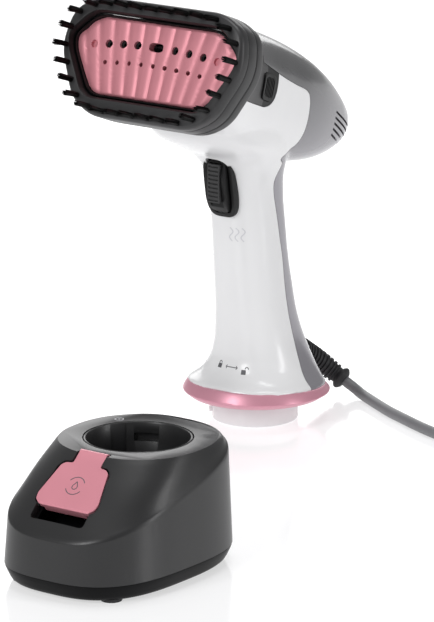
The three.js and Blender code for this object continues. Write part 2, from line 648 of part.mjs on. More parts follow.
function makeBrushFrame() {
  const { front, lip, back, backScale, bristle, tuft } = brush;
  const outer = loft([ringAt(frameOutline(0), back, ...backScale), ringAt(frameOutline(-0.6), lip),
    ringAt(frameOutline(0), lip + 1.5), ringAt(frameOutline(0), front - 1.5),
    ringAt(frameOutline(-1.8), front)]);
  const opening = solidOf(prism(plateOutline(surroundWidth + 0.5), back - 1, front + 1));
  const cavity = solidOf(loft([ringAt(frameOutline(-2.4), back - 1, ...backScale),
    ringAt(frameOutline(-2.6), lip - 2.6, 0.97, 1)]));
  const carrier = cutBy(solidOf(outer), opening, cavity, noseClearance());
  const tufts = tuftPlaces(brush.tufts).map(([x, y]) => solidOf(placed(
    turned([[0, front - 2], [tuft * 0.8, front - 2], [tuft, front + bristle], [0, front + bristle]],
      5), [x, y, 0])));
  pieceOf('brush_frame', joined(carrier, ...tufts), finish.frameGrey, headGroup);
}

// Room for the barrel's nose behind the brush frame, as wide all along as the nose's widest
// section, so that the frame pulls off forwards
function noseClearance() {
  const widest = barrelSections[barrelSections.length - 1].halfX + 0.5;
  const rings = barrelSections.slice(-4).map((section) => {
    const half = (section.top - section.bottom) / 2 + 0.5;
    const middle = (section.top + section.bottom) / 2;
    return superellipse(widest, half, barrelPower, 32)
      .map(([x, y]) => new THREE.Vector3(x, y + middle, section.z));
  });
  const last = rings[rings.length - 1];
  rings.push(last.map((p) => p.clone().add(new THREE.Vector3(0, 0, 0.6))));
  return solidOf(loft(rings));
}

// ---------------------------------------------------------------- trigger

// Front of the handle behind the trigger, in the side view
const triggerSeat = (z) => -29.3 - (z - 121) * 0.155;

// Rounded upright slab from front to back, as wide and tall as the trigger and grown all round
function triggerColumn(grow) {
  const { bottom, top, halfX } = trigger;
  const outline = superellipse(halfX + grow, (top - bottom) / 2 + grow, 4, 24);
  return solidOf(placed(prism(outline, 0, 40), [0, -20, (top + bottom) / 2], [90, 0, 0]));
}

function makeTrigger() {
  const { bottom, top, pinY, pinZ, proud, rim } = trigger;
  const face = (z, lift) => [triggerSeat(z) - lift, z];
  const outside = bodySolid(0);
  const surroundSide = solidOf(sideSlab([face(bottom - rim, 1.2), [-10, bottom - rim - 1],
    [-10, top + rim + 1], face(top + rim, 1.2), face(top - 6, 2.8), face(bottom + 8, 2.8)]));
  const surround = cutBy(triggerColumn(rim).intersect(surroundSide), triggerColumn(0.9), outside,
    outside.translate([0, -gap, 0]));
  pieceOf('trigger_surround', largestOf(surround), finish.softBlack);

  const side = solidOf(sideSlab([face(bottom, 2), [triggerSeat(bottom) + 4.5, bottom],
    [triggerSeat(pinZ) + 7, pinZ - 4], [triggerSeat(top) + 4, top], face(top, 2),
    face(top - 6, proud - 1.5), face(top - 12, proud), face(bottom + 9, proud),
    face(bottom + 4, proud - 1.2)]));
  const pinHole = solidOf(placed(new THREE.CylinderGeometry(1.6, 1.6, 60, 12), [0, pinY, pinZ],
    [0, 0, 90]));
  const springRoom = solidOf(box(6, 14, 8.4, [0, pinY + 3.2, pinZ]));
  pieceOf('trigger', cutBy(triggerColumn(0).intersect(side), lockBox(gap), pinHole, springRoom),
    finish.softBlack);

  pieceOf('trigger_lock', makeLock(), finish.frameGrey);
  piece('trigger_pin', placed(new THREE.CylinderGeometry(1.3, 1.3, 2 * trigger.halfX + 0.2, 12),
    [0, pinY, pinZ], [0, 0, 90]), finish.steel);
  piece('trigger_spring', placed(tubeRing(1.7, 2.7, -2.5, 2.5, 16), [0, pinY, pinZ], [0, 90, 0]),
    finish.steel);
}

const lockMiddle = () => (trigger.top + trigger.bottom + lockSlider.travel) / 2;

// The slot that the lock slider runs in, as long as slider and travel together
function lockBox(clear) {
  const { halfX, y, height, travel } = lockSlider;
  return solidOf(box(2 * (halfX + clear), 10, height + travel + 2 * clear,
    [0, y - 2.5, lockMiddle() - travel / 2]));
}

function makeLock() {
  const { halfX, y, depth, height } = lockSlider;
  const block = solidOf(box(2 * halfX, depth, height, [0, y, lockMiddle()]));
  const grooves = [-3, -2, -1, 0, 1, 2, 3].map((i) => solidOf(box(2 * halfX - 1.6, 1.6, 1.1,
    [0, y - depth / 2, lockMiddle() + i * 2.7])));
  return cutBy(block, ...grooves);
}

// ---------------------------------------------------------------- base of the handset

function makeBaseRing() {
  const { bottom, radius, frontTop, backTop } = ring;
  const slant = (frontTop - backTop) / (2 * radius);
  const middleTop = (frontTop + backTop) / 2;
  const level = (scale, z, lean) => superellipse(scale, scale, 2, 32)
    .map(([x, y]) => new THREE.Vector3(x, y + 1.2, z - y * lean));
  const skin = loft([level(radius - 3, bottom, 0), level(radius - 0.6, bottom + 1.4, 0),
    level(radius, bottom + 3, slant * 0.3), level(38.6, middleTop, slant)]);
  const bore = solidOf(disc(spigot.radius + gap, bottom - 2, bottom + 3, 48));
  const hollow = solidOf(loft([level(37, bottom + 2.6, 0), level(36.4, middleTop + 2, slant)]));
  const seat = solidOf(loft([level(39.2, middleTop - gap, slant),
    level(39.2, middleTop + 12, slant)]));
  pieceOf('base_ring', cutBy(solidOf(skin), bore, hollow, seat), finish.satinPink);
}

function makeSpigot() {
  const { radius, wall: thick, plate: deck, flange, flangeRadius } = spigot;
  const inner = radius - thick;
  const profile = [[6, deck], [inner, deck], [inner, 0.8], [inner + 0.6, 0], [radius - 0.8, 0],
    [radius, 0.8], [radius, 11], [radius - 1.1, 11.2], [radius - 1.1, 12.8], [radius, 13],
    [radius, flange], [flangeRadius, flange], [flangeRadius, flange + 2], [inner, flange + 2],
    [inner, deck + 2.2], [6, deck + 2.2], [6, deck]];
  const lugs = bayonetTurns.map((turn) => solidOf(placed(box(2.2, 6.5, 3,
    [radius + 0.3, 0, 4.4]), [0, 0, 0], [0, 0, turn])));
  pieceOf('docking_spigot', joined(solidOf(turned(profile, 28)), ...lugs), finish.glossWhite);
  piece('spigot_o_ring', tubeRing(radius - 0.8, radius + 0.3, 11.5, 12.5, 28), finish.rubber);
  piece('water_inlet', turned([[1.6, 1.2], [5, 1.2], [5, 10.4], [3, 11.4], [3, 20], [1.6, 20],
    [1.6, 1.2]], 20), finish.innerPlastic);
}

// ---------------------------------------------------------------- inside the handset

function makePump() {
  const body = solidOf(turned([[0, -22], [10, -22], [10, 8], [7, 12], [7, 20], [0, 20]], 24));
  const nozzle = solidOf(disc(2.2, 18, 27, 12));
  const inletPipe = solidOf(disc(2.2, -30, -20, 12));
  piece('pump', placed(geometryOf(joined(body, nozzle, inletPipe)), [0, 8, -89.2]),
    finish.innerPlastic, headGroup);
  const cradle = solidOf(box(30, 14, 5, [0, -7, -94]));
  const bodyRoom = solidOf(placed(disc(10.4, -104, -84, 24), [0, 8, 0]));
  pieceOf('pump_bracket', cutBy(cradle, bodyRoom), finish.innerPlastic, headGroup);
}

function makeHoses() {
  piece('pressure_hose', bar([[0, 8, -60.7], [0, 8.6, -54], [0, 11, -46], [0, 12, -40],
    [0, 12, -34.6]], 2.6, 10, 8), finish.silicone, headGroup);
  piece('suction_hose', bar([[0, 0, 20.6], [0, 2, 32], [-6, 3, 50], [-9, 0, 75], [-9, -3, 100],
    [-9, -5, 125], [-9, -6, 145], [-9, -3, 161], [-8.5, 5, 171], [-7, 15, 176], [-3, 23.6, 181],
    [0, 22.6, 186], [0, 16.6, 188.3]], 2.7, 26, 6), finish.silicone);
}

function makeElectrics() {
  const middle = (trigger.top + trigger.bottom) / 2;
  const switchBody = solidOf(box(6.4, 10, 20, [4.5, -10.6, middle - 6]));
  const plunger = solidOf(box(2.6, 2.6, 2.6, [4.5, -16, middle - 11]));
  pieceOf('microswitch', joined(switchBody, plunger), finish.baseBlack);
  piece('circuit_board', box(30, 1.6, 32, [0, -14, -138.2]), finish.boardGreen, headGroup);
  piece('cord_clamp', box(16, 8, 6, [0, 22, 31]), finish.innerPlastic);
}

const screwPlaces = [
  { y: 29, z: 62, turn: 88 },
  { y: 16, z: 122, turn: 80 },
];

function makeCasingScrews() {
  screwPlaces.forEach(({ y, z, turn }, i) => {
    piece(`casing_screw_${i + 1}`, placed(turned([[0, -16], [1.3, -16], [1.3, 0], [2.8, 0],
      [2.8, 2.2], [0, 2.2]], 12), [0, y - 7.5, z], [turn - 180, 0, 0]), finish.steel);
  });
}

// ---------------------------------------------------------------- cord

const reliefRoot = { place: [0, 36, 33], turn: 58, radius: 8 };
const reliefPath = [[0, 31, 37.4], [0, 40, 32], [1, 49, 26.6], [4.5, 57, 20.6], [10.4, 62.4, 14.2],
  [18, 64.4, 9]];

// Tapered rubber boot along its curve, ending in a small bead
function makeStrainRelief() {
  const curve = new THREE.CatmullRomCurve3(reliefPath.map((p) => new THREE.Vector3(...p)));
  const steps = 22;
  const frames = curve.computeFrenetFrames(steps, false);
  const rings = Array.from({ length: steps + 1 }, (_, i) => {
    const share = i / steps;
    const rib = i > 6 && i < 20 && i % 2 === 0 ? 0.7 : 0;
    const bead = share > 0.9 ? 1.1 : 0;
    const radius = 7.4 - 2.9 * share + rib + bead;
    const centre = curve.getPointAt(share);
    return superellipse(radius, radius, 2, 14).map(([x, y]) => centre.clone()
      .addScaledVector(frames.normals[i], x).addScaledVector(frames.binormals[i], y));
  });
  piece('strain_relief', loft(rings), finish.rubber);
}

function coilRing(grow) {
  const halfWide = (cord.columns * cord.diameter) / 2 + grow;
  const high = cord.layers * cord.diameter * 0.94 + grow;
  return placed(tubeRing(cord.coilRadius - halfWide, cord.coilRadius + halfWide, 0 - grow, high,
    32), [...coilCentre, 0]);
}

function makeCord() {
  const radius = cord.diameter / 2;
  const room = solidOf(coilRing(gap));
  const run = bar(cordRoute, radius, 24, 8);
  pieceOf('cord_run', largestOf(solidOf(run).subtract(room)), finish.rubber);
  piece('cord_coil', coilRing(0), finish.rubber);
  const tail = bar(tailRoute, radius, 8, 8);
  pieceOf('cord_tail', largestOf(solidOf(tail).subtract(room)), finish.rubber);
}

function largestOf(solid) {
  return solid.decompose().sort((a, b) => b.volume() - a.volume())[0];
}

function makeTie() {
  const halfWide = (cord.columns * cord.diameter) / 2;
  const high = cord.layers * cord.diameter * 0.94;
  const [x, y] = coilCentre;
  const outerBox = solidOf(box(9, 2 * halfWide + 2.8, high + 1.4 - gap,
    [x, y + cord.coilRadius, (high + 1.4) / 2 + gap / 2]));
  const room = solidOf(coilRing(gap));
  const tie = outerBox.subtract(room);
  pieceOf('cord_tie', largestOf(tie), finish.softBlack);
}

// Mains plug lying on its side at the end of the cord
function makePlug() {
  const body = loft([[0, 4.2], [10, 5.4], [12, 9.6], [20, 16], [34, 18.2], [38, 17.8]]
    .map(([z, half]) => superellipse(half, Math.min(half, 9.2), 2.6, 20)
      .map(([px, py]) => new THREE.Vector3(px, py, z))));
  const pins = [-9.5, 9.5].map((x) => solidOf(placed(disc(2.4, 37, 56, 12), [x, 0, 0])));
  const solid = joined(solidOf(body), ...pins);
  const end = tailRoute[tailRoute.length - 1];
  const before = tailRoute[tailRoute.length - 2];
  const heading = Math.atan2(end[1] - before[1], end[0] - before[0]) * 0.5;
  const axis = new THREE.Vector3(Math.cos(heading), Math.sin(heading), 0);
  const side = new THREE.Vector3(-Math.sin(heading), Math.cos(heading), 0);
  const frame = new THREE.Matrix4().makeBasis(side, new THREE.Vector3(0, 0, 1), axis);
  frame.setPosition(end[0] + axis.x * 1.2, end[1] + axis.y * 1.2, end[2]);
  piece('mains_plug', geometryOf(solid).applyMatrix4(frame), finish.rubber);
}

makeTankShell();
makeBaseTray();
makeFeet();
makeDockingSocket();
makeOutletValve();
makeFillerWell();
makeFillerFlap();
makeBaseScrews();
makeCasing();
makeLatchButtons();
makeSoleplate();
makeSteamChamber();
makeBrushFrame();
makeTrigger();
makeBaseRing();
makeSpigot();
makePump();
makeHoses();
makeElectrics();
makeCasingScrews();
makeStrainRelief();
makeCord();
makeTie();
makePlug();

export default steamer;
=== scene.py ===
# Handheld garment steamer beside its water tank: the finished look round the fixed CAD frame.
# Shapes are drawn in millimetres in the tank's, the handset's or the head's own axes, and are
# set into the row frame, in metres, when they are finished.

import json
import math
import random

import bmesh
import bpy
import numpy as np
from mathutils import Matrix, Vector
from mathutils.bvhtree import BVHTree


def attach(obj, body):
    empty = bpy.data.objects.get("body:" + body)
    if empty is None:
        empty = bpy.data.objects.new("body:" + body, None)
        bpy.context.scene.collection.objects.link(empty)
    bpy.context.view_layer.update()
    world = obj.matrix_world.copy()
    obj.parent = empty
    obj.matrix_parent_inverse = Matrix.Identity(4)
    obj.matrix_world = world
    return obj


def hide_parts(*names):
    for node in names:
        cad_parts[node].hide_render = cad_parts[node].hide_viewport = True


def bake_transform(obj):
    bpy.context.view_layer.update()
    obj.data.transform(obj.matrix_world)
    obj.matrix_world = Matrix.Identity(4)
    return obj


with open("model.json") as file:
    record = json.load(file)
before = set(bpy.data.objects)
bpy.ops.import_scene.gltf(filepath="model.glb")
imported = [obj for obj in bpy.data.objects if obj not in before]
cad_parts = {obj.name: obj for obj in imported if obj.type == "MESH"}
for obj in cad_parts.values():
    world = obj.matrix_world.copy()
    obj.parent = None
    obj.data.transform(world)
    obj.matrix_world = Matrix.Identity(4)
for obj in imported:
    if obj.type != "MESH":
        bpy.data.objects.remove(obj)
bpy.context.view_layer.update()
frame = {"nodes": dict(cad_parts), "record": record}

MM = 0.001


def place_at(x, y, z):
    """Axes at a point given in millimetres, whose own unit is the millimetre."""
    return Matrix.Translation((x * MM, y * MM, z * MM)) @ Matrix.Diagonal((MM, MM, MM, 1))


def at(x, y, z, degrees=0, axis="X"):
    """Axes moved to a point and turned about one of their own directions."""
    return Matrix.Translation((x, y, z)) @ Matrix.Rotation(math.radians(degrees), 4, axis)


TANK = place_at(59.1, -127.9, 0)
HANDSET = place_at(-45.9, 122.1, 0)
HEAD_Y, HEAD_Z, HEAD_TILT = -99.05, 221.94, 20
TO_HEAD = at(0, HEAD_Y, HEAD_Z, 90 - HEAD_TILT)
HEAD = HANDSET @ TO_HEAD  # x across, y up the plate's face, z out of it

# ---------------- camera

AZIMUTH = math.radians(36)
DISTANCE = 2.5  # from the handset's axis, level
RISE = math.radians(16.3)  # of the camera, seen from the handset's foot
PITCH = math.radians(14.985)
SIDESTEP = 0.0217
LENS, SENSOR = 263.8, 36


def make_camera():
    turn = Matrix.Rotation(AZIMUTH, 3, "Z")
    right, ahead = turn @ Vector((1, 0, 0)), turn @ Vector((0, 1, 0))
    data = bpy.data.cameras.new("camera")
    data.lens, data.sensor_width = LENS, SENSOR
    camera = bpy.data.objects.new("camera", data)
    height = Vector((0, 0, DISTANCE * math.tan(RISE)))
    camera.location = HANDSET.translation - ahead * DISTANCE + height - right * SIDESTEP
    camera.rotation_euler = (math.pi / 2 - PITCH, 0, AZIMUTH)
    bpy.context.scene.collection.objects.link(camera)
    bpy.context.scene.camera = camera


make_camera()

# ---------------- mesh helpers

SLAB_HALF_WIDTH = 90
BEVEL_ANGLE = math.radians(38)


def mesh_object(vertices, faces, name="part"):
    mesh = bpy.data.meshes.new(name)
    mesh.from_pydata([tuple(v) for v in vertices], [], faces)
    mesh.update()
    made = bpy.data.objects.new(name, mesh)
    bpy.context.scene.collection.objects.link(made)
    return made


def skin_faces(count, levels, first=0, closed=False):
    """Faces over rings of vertices, from the first vertex on: with flat ends, or round again."""
    faces = []
    for step in range(levels if closed else levels - 1):
        low, high = first + step * count, first + (step + 1) % levels * count
        for i in range(count):
            after = (i + 1) % count
            faces.append((low + i, low + after, high + after, high + i))
    if not closed:
        last = first + (levels - 1) * count
        faces.append(tuple(first + i for i in reversed(range(count))))
        faces.append(tuple(last + i for i in range(count)))
    return faces


def loft(rings, closed=False):
    """Closed skin over rings of equal point count."""
    vertices = [point for ring in rings for point in ring]
    return mesh_object(vertices, skin_faces(len(rings[0]), len(rings), closed=closed))


def hoop(rings):
    """Closed skin over rings that come round to the first again, as on a torus."""
    return loft(rings, closed=True)


def superellipse(half_x, half_y, power, count=96):
    def bend(value):
        return math.copysign(abs(value) ** (2 / power), value)

    turns = [2 * math.pi * i / count for i in range(count)]
    return [(half_x * bend(math.cos(t)), half_y * bend(math.sin(t))) for t in turns]


def level(outline, z):
    return [(x, y, z) for x, y in outline]


def prism(outline, bottom, top):
    return loft([level(outline, bottom), level(outline, top)])


def side_slab(outline):
    """A side view outline of (y, z) points, as a slab across the whole width."""
    return loft([[(x, y, z) for y, z in outline] for x in (-SLAB_HALF_WIDTH, SLAB_HALF_WIDTH)])


def turned(profile, segments=96):
    """Turned piece from (radius, height) points from one flat end to the other."""
    return loft([level(superellipse(radius, radius, 2, segments), z) for radius, z in profile])


def turned_ring(profile, segments=96):
    """Hollow turned piece, whose (radius, height) points come round to the first again."""
    turns = (2 * math.pi * i / segments for i in range(segments))
    return hoop([[(r * math.cos(t), r * math.sin(t), z) for r, z in profile] for t in turns])


def disc(radius, bottom, top, segments=96):
    return prism(superellipse(radius, radius, 2, segments), bottom, top)


def block(size, centre=(0, 0, 0)):
    half_x, half_y, half_z = (side / 2 for side in size)
    corners = [(half_x, half_y), (-half_x, half_y), (-half_x, -half_y), (half_x, -half_y)]
    return moved(prism(corners, -half_z, half_z), at(*centre))


def turned_block(size, centre, degrees):
    """Block set beside the upright axis and carried round it."""
    return moved(block(size, centre), at(0, 0, 0, degrees, "Z"))


def moved(thing, matrix):
    thing.data.transform(matrix)
    return thing


def outward(thing):
    """Turns every face outwards."""
    shape = bmesh.new()
    shape.from_mesh(thing.data)
    bmesh.ops.recalc_face_normals(shape, faces=shape.faces)
    shape.to_mesh(thing.data)
    shape.free()
    return thing


def surface_of(thing, place=Matrix()):
    """The piece's faces as a tree that rays can be cast at, to print marks on it."""
    shape = bmesh.new()
    shape.from_mesh(thing.data)
    shape.transform(place)
    tree = BVHTree.FromBMesh(shape)
    shape.free()
    return tree


def bake(thing):
    """Applies the modifiers to the mesh."""
    shown = thing.evaluated_get(bpy.context.evaluated_depsgraph_get())
    mesh = bpy.data.meshes.new_from_object(shown)
    thing.modifiers.clear()
    thing.data = mesh
    return thing


def remove(*things):
    for thing in things:
        bpy.data.objects.remove(thing)


def combined(base, tools, operation):
    """Combines the base with each tool, which uses the tools up."""
    outward(base)
    for tool in tools:
        outward(tool)
        modifier = base.modifiers.new("combine", "BOOLEAN")
        modifier.operation = operation
        modifier.solver = "MANIFOLD"
        modifier.object = tool
    bake(base)
    remove(*tools)
    return base


def cut(base, *tools):
    return combined(base, tools, "DIFFERENCE")


def joined(base, *tools):
    return combined(base, tools, "UNION")


def kept_inside(base, *tools):
    return combined(base, tools, "INTERSECT")


def copy_of(thing):
    twin = thing.copy()
    twin.data = thing.data.copy()
    bpy.context.scene.collection.objects.link(twin)
    return twin


def bevelled(thing, width, segments=2):
    modifier = thing.modifiers.new("bevel", "BEVEL")
    modifier.width = width
    modifier.segments = segments
    modifier.limit_method = "ANGLE"
    modifier.angle_limit = BEVEL_ANGLE
    return bake(thing)


def smooth_rows(rows, steps):
    """Rows of numbers, whose first column runs on, filled in smoothly between."""
    table = np.array(rows, float)
    run = table[:, 0]
    slopes = np.gradient(table, run, axis=0)
    filled = []
    for here in np.linspace(run[0], run[-1], steps):
        i = min(int(np.searchsorted(run, here, "right")) - 1, len(run) - 2)
        span = run[i + 1] - run[i]
        t = (here - run[i]) / span
        a = (1 + 2 * t) * (1 - t) ** 2
        b = t * (1 - t) ** 2 * span
        c = t * t * (3 - 2 * t)
        d = t * t * (t - 1) * span
        filled.append(a * table[i] + b * slopes[i] + c * table[i + 1] + d * slopes[i + 1])
    return filled


def smooth_line(points, per_span=8):
    """Points of a smooth curve through the given ones."""
    pts = [Vector(p) for p in points]
    ends = [2 * pts[0] - pts[1], *pts, 2 * pts[-1] - pts[-2]]
    line = []
    for i in range(len(pts) - 1):
        a, b, c, d = ends[i : i + 4]
        for step in range(per_span):
            t = step / per_span
            bow = (2 * a - 5 * b + 4 * c - d) * t * t
            twist = (3 * b - a - 3 * c + d) * t * t * t
            line.append(0.5 * (2 * b + (c - a) * t + bow + twist))
    return [*line, pts[-1]]


def neighbours(line):
    """Each point of an open line between the ones before and after it."""
    return zip([line[0], *line], line, [*line[1:], line[-1]])


def round_pairs(outline):
    """Each point of a closed outline with the next one."""
    return zip(outline, outline[1:] + outline[:1])


def tube(points, radii, sides):
    """Round bar along the points, with a radius for each."""
    turns = [2 * math.pi * k / sides for k in range(sides)]
    normal = (points[1] - points[0]).normalized().orthogonal().normalized()
    rings = []
    for (before, point, after), radius in zip(neighbours(points), radii):
        ahead = (after - before).normalized()
        normal = (normal - ahead * normal.dot(ahead)).normalized()
        across = ahead.cross(normal)
        rings.append([point + radius * (normal * math.cos(t) + across * math.sin(t))
                      for t in turns])
    return loft(rings)


def rounded_outline(right_corners, radius, grow, steps):
    """Symmetric outline from its right side's corner points, each corner rounded off."""
    left = [(-x, y) for x, y in reversed(right_corners)]
    corners = [Vector(c) for c in reversed([*right_corners, *left])]
    outline = []
    for i, corner in enumerate(corners):
        before = corners[i - 1] - corner
        after = corners[(i + 1) % len(corners)] - corner
        reach = min(radius, before.length * 0.45, after.length * 0.45)
        start = corner + before.normalized() * reach
        end = corner + after.normalized() * reach
        for step in range(steps + 1):
            t = step / steps
            outline.append(start * (1 - t) ** 2 + corner * 2 * t * (1 - t) + end * t * t)
    high, low = max(p.y for p in outline), min(p.y for p in outline)
    half_x, half_y, middle = max(p.x for p in outline), (high - low) / 2, (high + low) / 2
    return [(p.x * (half_x + grow) / half_x, middle + (p.y - middle) * (half_y + grow) / half_y)
            for p in outline]


# ---------------- materials


COAT_ROUGHNESS = 0.08
DRIFT_SCALE = 35  # of the slow change of shade over a surface
GLOSS_SPREAD = 0.15  # share by which the roughness goes up and down


def add_node(tree, kind, values=()):
    """New shader node with some of its inputs set to plain values."""
    node = tree.nodes.new("ShaderNode" + kind)
    set_inputs(node, dict(values))
    return node


def set_inputs(node, values):
    for name, value in values.items():
        node.inputs[name].default_value = value


def material_of(name, colour, roughness, metallic=0.0, coat=0.0, grain=1500.0, depth=8e-6,
                drift=0.05, shine=0.5):
    """Moulded or cast surface: a slow drift of shade, with uneven gloss and a fine grain."""
    made = bpy.data.materials.new(name)
    made.use_nodes = True
    tree = made.node_tree
    link = tree.links.new
    shader = tree.nodes["Principled BSDF"]
    set_inputs(shader, {"Metallic": metallic, "Coat Weight": coat, "Specular IOR Level": shine,
                        "Coat Roughness": COAT_ROUGHNESS})
    where = add_node(tree, "TexCoord")

    def noise(scale, detail):
        node = add_node(tree, "TexNoise", {"Scale": scale, "Detail": detail})
        link(where.outputs["Object"], node.inputs["Vector"])
        return node.outputs["Fac"]

    slow, fine = noise(DRIFT_SCALE, 2), noise(grain, 3)
    shades = add_node(tree, "ValToRGB")
    for element, place, side in zip(shades.color_ramp.elements, (0.3, 0.7), (-1, 1)):
        element.position = place
        element.color = (*(c * (1 + side * drift) for c in colour), 1)
    link(slow, shades.inputs["Fac"])
    link(shades.outputs["Color"], shader.inputs["Base Color"])
    gloss = add_node(tree, "MapRange", {"To Min": roughness * (1 - GLOSS_SPREAD),
                                        "To Max": roughness * (1 + GLOSS_SPREAD)})
    link(fine, gloss.inputs["Value"])
    link(gloss.outputs["Result"], shader.inputs["Roughness"])
    bump = add_node(tree, "Bump", {"Distance": depth})
    link(fine, bump.inputs["Height"])
    link(bump.outputs["Normal"], shader.inputs["Normal"])
    return made


def fade_upwards(made, low, high, low_colour, high_colour):
    """Shades the material from one colour low down to another high up, by its own height."""
    tree = made.node_tree
    link = tree.links.new
    split = add_node(tree, "SeparateXYZ")
    link(add_node(tree, "TexCoord").outputs["Object"], split.inputs["Vector"])
    share = add_node(tree, "MapRange", {"From Min": low, "From Max": high})
    link(split.outputs["Z"], share.inputs["Value"])
    ramp = add_node(tree, "ValToRGB")
    for element, colour in zip(ramp.color_ramp.elements, (low_colour, high_colour)):
        element.color = (*colour, 1)
    link(share.outputs["Result"], ramp.inputs["Fac"])
    link(ramp.outputs["Color"], tree.nodes["Principled BSDF"].inputs["Base Color"])


PINK = (0.86, 0.34, 0.41)
FINISH = {
    "tank_grey": material_of("satin_tank_plastic", (0.019, 0.019, 0.02), 0.36, coat=0.05,
                             grain=2200, depth=6e-6),
    "base_black": material_of("black_base_plastic", (0.0025, 0.0025, 0.003), 0.4,
                              grain=1800, depth=5e-6, shine=0.12),
    "satin_pink": material_of("pearl_pink_plastic", PINK, 0.36, metallic=0.35, coat=0.15,
                              grain=6000, depth=4e-6, drift=0.03),
    "plate_metal": material_of("pink_ceramic_plate", (0.68, 0.26, 0.305), 0.4, metallic=0.3,
                               grain=4200, depth=2.5e-5, drift=0.04),
    "gloss_white": material_of("gloss_white_plastic", (0.87, 0.87, 0.88), 0.22, coat=0.1,
                               grain=700, depth=1.5e-6, drift=0.008),
    "cover_grey": material_of("pearl_grey_cover", (0.12, 0.12, 0.125), 0.24, metallic=0.45,
                              coat=0.3, grain=5200, depth=3e-6, drift=0.03),
    "frame_grey": material_of("satin_frame_plastic", (0.03, 0.0295, 0.031), 0.4, metallic=0.1,
                              grain=2600, depth=6e-6),
    "soft_black": material_of("soft_touch_black", (0.0035, 0.0035, 0.004), 0.5, grain=3200,
                              depth=1.2e-5, shine=0.35),
    "rubber": material_of("black_rubber", (0.016, 0.016, 0.018), 0.6, grain=2400, depth=1.5e-5),
    "cord_sheath": material_of("grey_cord_sheath", (0.17, 0.172, 0.18), 0.42, grain=2400,
                               depth=1e-5),
    "inner_plastic": material_of("pale_inner_plastic", (0.58, 0.58, 0.55), 0.45, grain=1600),
    "silicone": material_of("red_silicone", (0.45, 0.1, 0.06), 0.5, grain=1800),
    "cast_metal": material_of("cast_aluminium", (0.55, 0.56, 0.58), 0.45, metallic=0.9,
                              grain=1400, depth=4e-5),
    "steel": material_of("drawn_steel", (0.6, 0.61, 0.63), 0.28, metallic=1.0, grain=5000),
    "board_green": material_of("green_board", (0.03, 0.14, 0.06), 0.4, grain=2500),
}
HANDLE_STRIP_TOP, HEAD_START = 0.135, 0.2  # heights in metres, with the fade between them
fade_upwards(FINISH["cover_grey"], HANDLE_STRIP_TOP, HEAD_START,
             (0.34, 0.33, 0.36), (0.13, 0.13, 0.135))
RING_PINK = material_of("pearl_pink_ring", (0.72, 0.33, 0.42), 0.36, metallic=0.35, coat=0.1,
                        grain=6000, depth=4e-6, drift=0.03)
MARK_GREY = material_of("printed_mark", (0.11, 0.11, 0.12), 0.5, grain=2000)
MARK_PALE = material_of("pale_printed_mark", (0.62, 0.62, 0.66), 0.4, grain=2000)
MARK_FAINT = material_of("faint_printed_mark", (0.66, 0.66, 0.69), 0.3, grain=2000)
BRISTLE = material_of("black_bristle", (0.002, 0.002, 0.002), 0.45, grain=9000, depth=4e-6,
                      shine=0.2)


def finished(thing, name, place, body, slot, nodes=(), material=None, sharp=32):
    """Sets a drawn piece into the row frame, and says what it is and what it rides on."""
    outward(thing)
    thing.name = name
    thing.data.name = name
    thing.data.transform(place)
    thing.data.shade_smooth()
    thing.data.set_sharp_from_angle(angle=math.radians(sharp))
    thing.data.materials.clear()
    thing.data.materials.append(material or FINISH[slot])
    if body:
        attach(thing, body)
    if nodes:
        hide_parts(*nodes)
    return thing


def dress_cad_nodes():
    for row in frame["record"]["subparts"]:
        node = frame["nodes"][row["node"]]
        node.data.materials.clear()
        node.data.materials.append(FINISH[row["material_slot"]])


dress_cad_nodes()

# ---------------- printed marks

MARK_RISE, MARK_DEPTH = 0.06, 0.12  # how far a mark stands out of its surface, and into it
MARK_STEP = 0.4


def stroke(points, width, place):
    """Thin line of print along (u, v) points; place gives a surface point and its normal."""
    line = []
    for a, b in zip(points, points[1:]):
        steps = max(1, round(math.dist(a, b) / MARK_STEP))
        line += [(a[0] + (b[0] - a[0]) * k / steps, a[1] + (b[1] - a[1]) * k / steps)
                 for k in range(steps)]
    line.append(points[-1])
    rings = []
    for before, (u, v), after in neighbours(line):
        half = width / 2 / math.dist(before, after)
        out_u, out_v = (before[1] - after[1]) * half, (after[0] - before[0]) * half
        left, left_normal = place(u + out_u, v + out_v)
        right, right_normal = place(u - out_u, v - out_v)
        rings.append([left - left_normal * MARK_DEPTH, right - right_normal * MARK_DEPTH,
                      right + right_normal * MARK_RISE, left + left_normal * MARK_RISE])
    return loft(rings)


def arc(u, v, radius, start, end, steps=16):
    turns = [math.radians(start + (end - start) * i / steps) for i in range(steps + 1)]
    return [(u + radius * math.cos(t), v + radius * math.sin(t)) for t in turns]


def finish_mark(strokes, name, place, body, material):
    first, *others = [outward(line) for line in strokes]
    joined(first, *others)
    finished(first, name, place, body, "soft_black", material=material)


# ---------------- cord, coil, tie

CORD_WIDTH = 6.2
COIL_X, COIL_Y = 162, 62  # from the spigot's axis
FLOOR_LEVEL = 3.2
CORD_ROUTE = [
    (18.0, 64.4, 9.0), (24.6, 64.9, 5.4), (32, 62, 3.5), (40.5, 57, 3.2), (51, 50.4, 3.2),
    (64, 42.6, 3.2), (78, 35.6, 3.2), (92, 28.8, 3.2), (107, 22.4, 3.2), (122, 18, 3.2),
    (138, 16, 3.2), (152, 17.5, 3.2),
]
TAIL_ROUTE = [
    (130.4, 67.8, 18.4), (127.2, 57, 21), (128.8, 50, 21), (131.9, 43.6, 21.5), (136.8, 37, 23.2),
    (143, 32.2, 25.6), (150, 29.6, 27),
]
COIL_START = math.radians(-84)  # where the cord runs into the coil, round its middle
COIL_END = math.radians(150)  # where the last turn begins to climb to the plug
